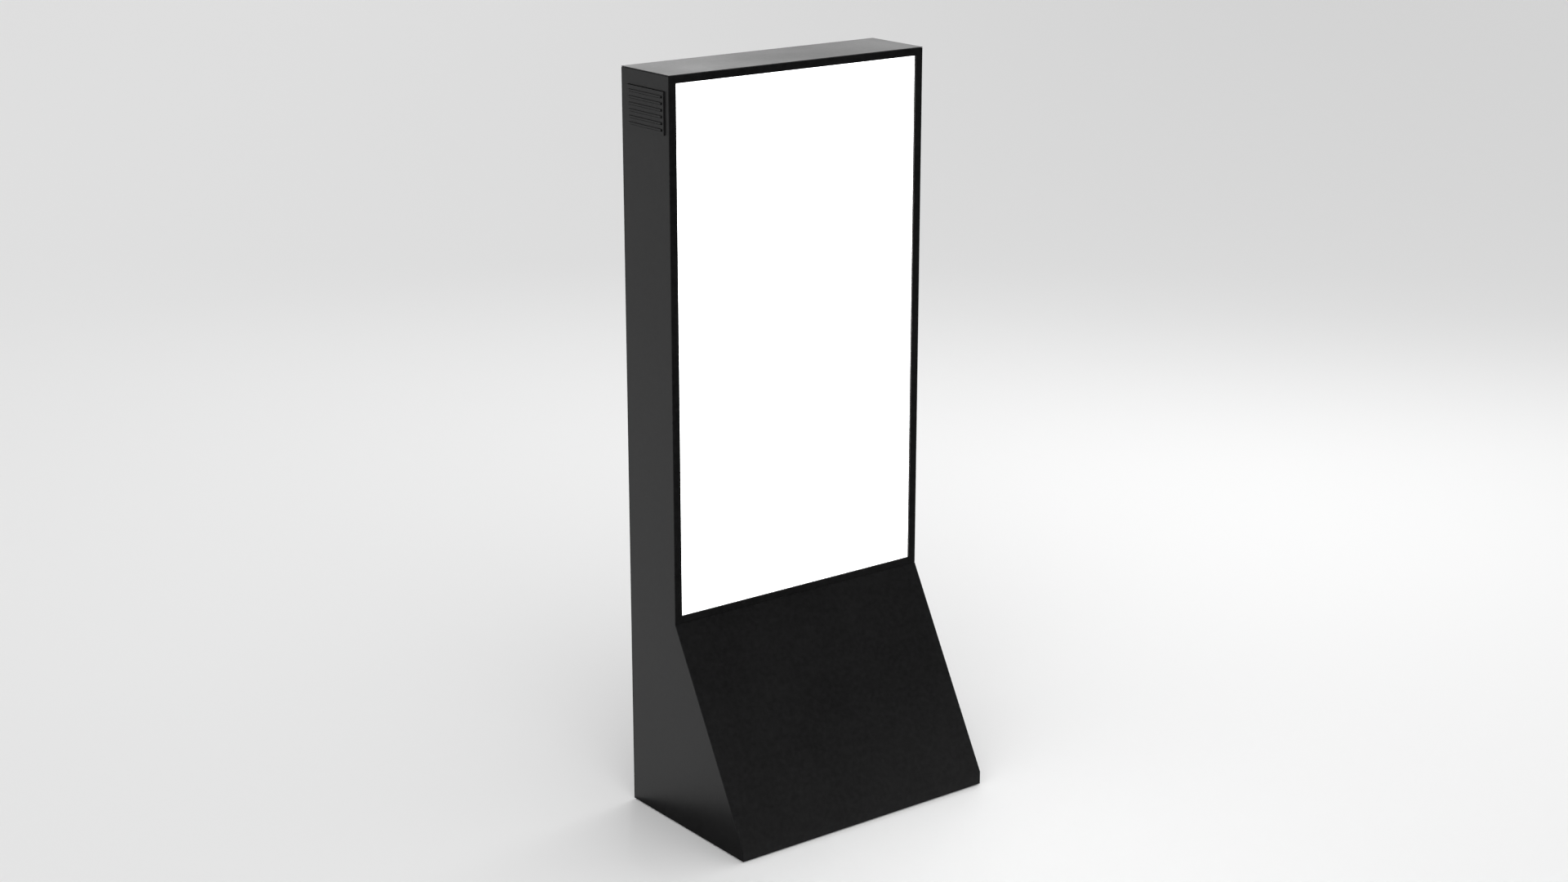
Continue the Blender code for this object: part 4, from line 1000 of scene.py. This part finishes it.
def fan_details(looks):
    """A wire finger guard and its four screws on the inner face of each fan."""
    for side, sign in (("left", -1), ("right", 1)):
        low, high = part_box(f"fan_housing_{side}")
        middle = (low + high) / 2
        inner = high.x if sign < 0 else low.x
        hub = Vector((inner, middle.y, middle.z))
        hub_of_guard = hub - Vector((sign * 0.003, 0, 0))
        bm = bmesh.new()
        for radius in (0.0215, 0.0285, 0.0355, 0.0425):
            ring = [hub_of_guard + Vector((0, across, up)) for across, up in rod_section(radius, 40)]
            sweep(bm, ring, (1, 0, 0), rod_section(0.0007, 6), closed=True)
        for corner in range(4):
            angle = math.pi * (0.25 + 0.5 * corner)
            out = Vector((0, math.cos(angle), math.sin(angle)))
            start = hub_of_guard + Vector((sign * 0.0012, 0, 0)) + out * 0.0205
            end = start + out * 0.029
            sweep(bm, [start, end], (1, 0, 0), rod_section(0.0008, 6))
            eye = hub - Vector((sign * 0.0022, 0, 0)) + out * 0.0515
            eyelet = [(0.0022, -0.0006), (0.0036, -0.0006), (0.0036, 0.0006), (0.0022, 0.0006)]
            turn(bm, eye, (1, 0, 0), eyelet, hollow=True)
        zinc_piece(f"fan_guard_{side}", bm, looks)
        reach = 0.0364
        spots = [hub + Vector((-sign * 0.0018, a * reach, b * reach)) for a in (-1, 1) for b in (-1, 1)]
        black = looks["black_screws"]
        screws(f"fan_screws_{side}", spots, (-sign, 0, 0), 0.003, black, "cabinet")


def boot(bm, at, direction, lead_radius):
    """A ribbed strain relief round a lead's end."""
    wide = lead_radius * 1.9
    profile = [(wide, -0.0003), (wide, 0.003), (lead_radius * 1.55, 0.0045)]
    for index in range(4):
        start = 0.005 + index * 0.003
        reach = lead_radius * (1.55 - 0.09 * index)
        groove = reach * 0.84
        profile += [(reach, start), (reach, start + 0.0018)]
        profile += [(groove, start + 0.002), (groove, start + 0.0028)]
    turn(bm, at, direction, profile, points=20)


def lead_fittings(looks):
    """A plug body where it goes into a piece, and a strain relief, at each end of each lead."""
    bm = bmesh.new()
    shells = bmesh.new()
    for at, direction, radius, plug in LEAD_ENDS:
        at, direction = Vector(at), Vector(direction)
        if plug:
            width, depth, length = plug
            low = at + Vector((-width / 2, -depth / 2, 0 if direction.z > 0 else -length))
            bar(shells, low, low + Vector(plug))
            at += direction * length
        boot(bm, at, direction, radius)
    piece("lead_strain_reliefs", bm, looks["rubber"], "cabinet")
    piece("lead_plugs", shells, looks["plastic"], "cabinet", 0.0008)


def lead_clips(looks):
    """Clips that hold the mains and network leads off the equipment plate."""
    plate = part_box("equipment_plate")[1].y
    spots = []
    bm = bmesh.new()
    for x, z, radius, lean in LEAD_CLIPS:
        turned_by = Matrix.Rotation(lean, 3, "Y")
        direction = turned_by @ Vector((0, 0, 1))
        at = Vector((x, SERVICE_Y, z))
        inside, outside = radius + 0.0003, radius + 0.0017
        ring = [(inside, -0.004), (outside, -0.004), (outside, 0.004), (inside, 0.004)]
        turn(bm, at, direction, ring, hollow=True)
        bar(bm, (x + radius * 0.6, plate, z - 0.004), (x + radius + 0.0014, SERVICE_Y, z + 0.004))
        bar(bm, (x + radius, plate, z - 0.006), (x + radius + 0.015, plate + 0.0014, z + 0.006))
        spots.append((x + radius + 0.009, plate + 0.0014, z))
    piece("lead_clips", bm, looks["plastic"], "cabinet", 0.0003)
    zinc_screws("lead_clip_screws", spots, 0.0026, looks)


def equipment_details(looks):
    """Ears, ports and a status light on the player, and ears, cover screws and near-black discs painted as
    shaded air holes on the supply.
    """
    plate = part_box("equipment_plate")[1].y
    ears = bmesh.new()
    spots = []
    for name in ("media_player", "power_supply"):
        low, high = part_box(name)
        for sign, edge_x in ((-1, low.x), (1, high.x)):
            for z in (low.z + 0.022, high.z - 0.022):
                xs = sorted((edge_x - sign * 0.0005, edge_x + sign * 0.016))
                bar(ears, (xs[0], plate, z - 0.009), (xs[1], plate + 0.0016, z + 0.009))
                spots.append((edge_x + sign * 0.009, plate + 0.0016, z))
    piece("equipment_ears", ears, looks["zinc"], "cabinet", 0.0004)
    zinc_screws("equipment_screws", spots, 0.0034, looks)
    low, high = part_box("media_player")
    middle = (low.y + high.y) / 2
    shells, tongues = bmesh.new(), bmesh.new()
    for x, width, height in PLAYER_PORTS:
        centre = Vector((x, middle, high.z))
        path = [centre + Vector((across, out, 0.0006)) for across, out in strip(width / 2, height / 2)]
        sweep(shells, path, (0, 0, 1), strip(0.0004, 0.0008), closed=True)
        half = Vector((width * 0.42, height * 0.36, 0.0002))
        bar(tongues, centre - half, centre + half)
    piece("player_port_shells", shells, looks["tin"], "cabinet")
    piece("player_port_mouths", tongues, looks["plastic"], "cabinet")
    bm = bmesh.new()
    dome = [(0.0016, -0.0002), (0.0016, 0.0003), (0.0009, 0.0008)]
    turn(bm, (low.x + 0.012, high.y, low.z + 0.012), REARWARD, dome)
    piece("player_status_light", bm, looks["status_light"], "cabinet")
    bm = bmesh.new()
    # Painted shade: the supply's air holes are near-black discs on its cover, not openings.
    low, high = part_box("power_supply")
    hole = [(0.0019, -0.0002), (0.0019, 0.00006), (0.0016, 0.00006)]
    for row in range(11):
        for column in range(22):
            x = low.x + 0.038 + column * 0.0062 + (row % 2) * 0.0031
            z = low.z + 0.026 + row * 0.0055
            turn(bm, (x, high.y, z), REARWARD, hole, points=12)
    piece("supply_painted_hole_shade", bm, looks["painted_hole_shade"], "cabinet")
    spots = corner_spots(low, high, 0.007, high.y)
    zinc_screws("supply_cover_screws", spots, 0.0026, looks)


def board_details(looks):
    """Seeded rows of parts on the two boards, a finned heat sink, capacitors and corner screws."""
    choose = random.Random(11)
    face = BOARD_FACE_Y
    chips, ceramics, cans, tops, pins = (bmesh.new() for _ in range(5))
    for x, z, width, height in BOARD_CHIPS:
        pad(chips, x, z, width / 2, height / 2, face, face + 0.0018)
        legs = int(width / 0.0016)
        for leg in range(legs):
            leg_x = x - width / 2 + (leg + 0.5) * width / legs
            for sign in (-1, 1):
                z_mid = z + sign * (height / 2 + 0.0007)
                pad(pins, leg_x, z_mid, 0.0003, 0.0008, face - 0.0001, face + 0.0006)
    for x, z, radius, rise in BOARD_CANS:
        sleeve = [
            (radius, 0.0),
            (radius, rise * 0.86),
            (radius * 0.94, rise * 0.9),
            (radius, rise * 0.94),
            (radius, rise),
            (radius * 0.9, rise + 0.0002),
        ]
        turn(cans, (x, face, z), REARWARD, sleeve)
        cap = [(radius * 0.86, 0.0), (radius * 0.86, 0.0004), (radius * 0.8, 0.0005)]
        turn(tops, (x, face + rise, z), REARWARD, cap)
    for x_low, x_high, z_low, z_high, count in SMALL_PART_AREAS:
        for _ in range(count):
            x, z = choose.uniform(x_low, x_high), choose.uniform(z_low, z_high)
            half_width, half_height = (0.0011, 0.0006) if choose.random() < 0.5 else (0.0006, 0.0011)
            target = choose.choice((ceramics, ceramics, chips))
            pad(target, x, z, half_width, half_height, face, face + 0.0009)
            across, up = (half_width, 0.0) if half_width > half_height else (0.0, half_height)
            for sign in (-1, 1):
                pad(pins, x + sign * across, z + sign * up, 0.0005, 0.0005, face - 0.0001, face + 0.0007)
    piece("board_chips", chips, looks["plastic"], "cabinet", 0.00012)
    piece("board_ceramics", ceramics, looks["ceramic"], "cabinet")
    piece("board_capacitors", cans, looks["sleeve"], "cabinet")
    piece("board_capacitor_tops", tops, looks["tin"], "cabinet")
    piece("board_solder", pins, looks["tin"], "cabinet")
    bm = bmesh.new()
    x, z, half, foot = HEAT_SINK
    pad(bm, x, z, half, half, foot, foot + 0.002)
    for index in range(9):
        fin = x - half + 0.001 + index * (2 * half - 0.002) / 8
        pad(bm, fin, z, 0.0006, half, foot + 0.001, foot + 0.009)
    piece("board_heat_sink", bm, looks["black_aluminium"], "cabinet", 0.0002)
    spots = []
    for name in ("display_board", "touch_board"):
        low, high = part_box(name)
        spots += corner_spots(low, high, 0.006, face)
    zinc_screws("board_screws", spots, 0.0028, looks)


def status_light():
    material, tree, shader = new_material("status_light", (0.05, 0.6, 0.18), 0.25)
    glow = noise(tree, place(tree), 900.0)
    glow = spread(tree, glow, 0.3, 0.7)
    green = blend_colours(tree, glow, (0.02, 0.8, 0.22), (0.1, 1.0, 0.35))
    tree.links.new(green, shader.inputs["Emission Color"])
    shader.inputs["Emission Strength"].default_value = 1.5
    return material


def small_pieces():
    looks = {
        "black_screws": metal("black_screws", (0.03, 0.03, 0.032), 0.28, 0.42),
        "bright_screws": metal("bright_screws", (0.6, 0.61, 0.62), 0.22, 0.38),
        "chrome": metal("ring_chrome", (0.74, 0.74, 0.76), 0.1, 0.22),
        "zinc": zinc_plate("folded_zinc"),
        "gold": metal("gold_contacts", (0.9, 0.62, 0.22), 0.18, 0.3),
        "tin": metal("bright_tin", (0.68, 0.68, 0.7), 0.25, 0.4),
        "black_aluminium": metal("black_aluminium", (0.035, 0.035, 0.038), 0.35, 0.5, (1, 1, 30)),
        "rubber": rubber("moulded_rubber", (0.013, 0.013, 0.014)),
        "plastic": moulded_plastic("fitting_plastic", (0.012, 0.012, 0.013)),
        "painted_hole_shade": moulded_plastic("painted_hole_shade", (0.002, 0.002, 0.002), 0.7, 0.9),
        "ceramic": moulded_plastic("ceramic", (0.22, 0.16, 0.1), 0.45, 0.6),
        "sleeve": moulded_plastic("capacitor_sleeve", (0.012, 0.018, 0.04), 0.25, 0.4),
        "white_print": moulded_plastic("white_print", (0.7, 0.7, 0.68), 0.5, 0.65),
        "status_light": status_light(),
    }
    makers = (
        outside_screws,
        socket_details,
        lock_details,
        filter_frame,
        chassis_details,
        frame_bolts,
        foot_details,
        fan_details,
        lead_fittings,
        lead_clips,
        equipment_details,
        board_details,
    )
    for make in makers:
        make(looks)


# Studio and camera


def area_light(name, place_at, towards, size, power):
    light = bpy.data.lights.new(name, "AREA")
    light.shape = "RECTANGLE"
    light.size, light.size_y = size
    light.energy = power
    made = bpy.data.objects.new(name, light)
    made.location = place_at
    direction = Vector(towards) - Vector(place_at)
    made.rotation_euler = direction.to_track_quat("-Z", "Y").to_euler()
    bpy.context.scene.collection.objects.link(made)
    return made


def sky(world):
    """Fills the world with the even light and its lobes."""
    world.use_nodes = True
    tree = world.node_tree
    direction = tree.nodes.new("ShaderNodeTexCoord").outputs["Generated"]
    total = SKY_EVEN
    for towards, tightness, strength in SKY_LOBES:
        above = sums(tree, "MAXIMUM", along(tree, direction, Vector(towards).normalized()), 0.0)
        lobe = sums(tree, "MULTIPLY", sums(tree, "POWER", above, tightness), strength)
        total = sums(tree, "ADD", total, lobe)
    seen = tree.nodes.new("ShaderNodeMix")
    tree.links.new(tree.nodes.new("ShaderNodeLightPath").outputs["Is Camera Ray"], seen.inputs["Factor"])
    tree.links.new(total, seen.inputs["A"])
    seen.inputs["B"].default_value = SKY_SEEN
    background = tree.nodes["Background"]
    background.inputs["Color"].default_value = (1.0, 1.0, 1.0, 1.0)
    tree.links.new(seen.outputs["Result"], background.inputs["Strength"])


def studio():
    world = bpy.data.worlds.new("studio")
    sky(world)
    bpy.context.scene.world = world
    bpy.context.scene.view_settings.view_transform = "Standard"
    for name, place_at, towards, size, power in LIGHTS:
        area_light(name, place_at, towards, size, power)
    bm = bmesh.new()
    bmesh.ops.create_grid(bm, x_segments=1, y_segments=1, size=FLOOR_HALF)
    mesh_object("floor", bm, studio_floor())
    floor_flag()


def floor_flag():
    """A grey card on the floor beside the kiosk, which shows only as a dark reflection low on its side: a
    painted reflection of the floor's shade.
    """
    bm = bmesh.new()
    bm.faces.new([bm.verts.new((x, y, FLAG_LIFT)) for x, y in FLAG_OUTLINE])
    flag = mesh_object("floor_flag", bm, new_material("grey_card", FLAG_COLOUR, 0.9, specular=0.0)[0])
    flag.visible_camera = False
    flag.visible_diffuse = False
    flag.visible_transmission = False
    flag.visible_shadow = False


def camera():
    data = bpy.data.cameras.new("camera")
    data.lens = FOCAL_MM
    data.sensor_width = SENSOR_MM
    data.clip_end = 200.0
    made = bpy.data.objects.new("camera", data)
    made.location = CAMERA_PLACE
    made.rotation_euler = (math.pi / 2 + CAMERA_PITCH, 0, CAMERA_YAW)
    bpy.context.scene.collection.objects.link(made)
    bpy.context.scene.camera = made


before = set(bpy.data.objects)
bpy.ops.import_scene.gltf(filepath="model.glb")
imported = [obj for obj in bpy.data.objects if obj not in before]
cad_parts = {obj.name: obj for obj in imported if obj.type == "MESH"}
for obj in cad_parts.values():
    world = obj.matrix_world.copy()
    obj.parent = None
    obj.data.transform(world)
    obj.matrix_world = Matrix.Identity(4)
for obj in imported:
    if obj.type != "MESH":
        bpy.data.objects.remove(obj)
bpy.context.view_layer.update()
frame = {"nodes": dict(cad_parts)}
camera()
studio()
dress_all(frame["nodes"])
small_pieces()
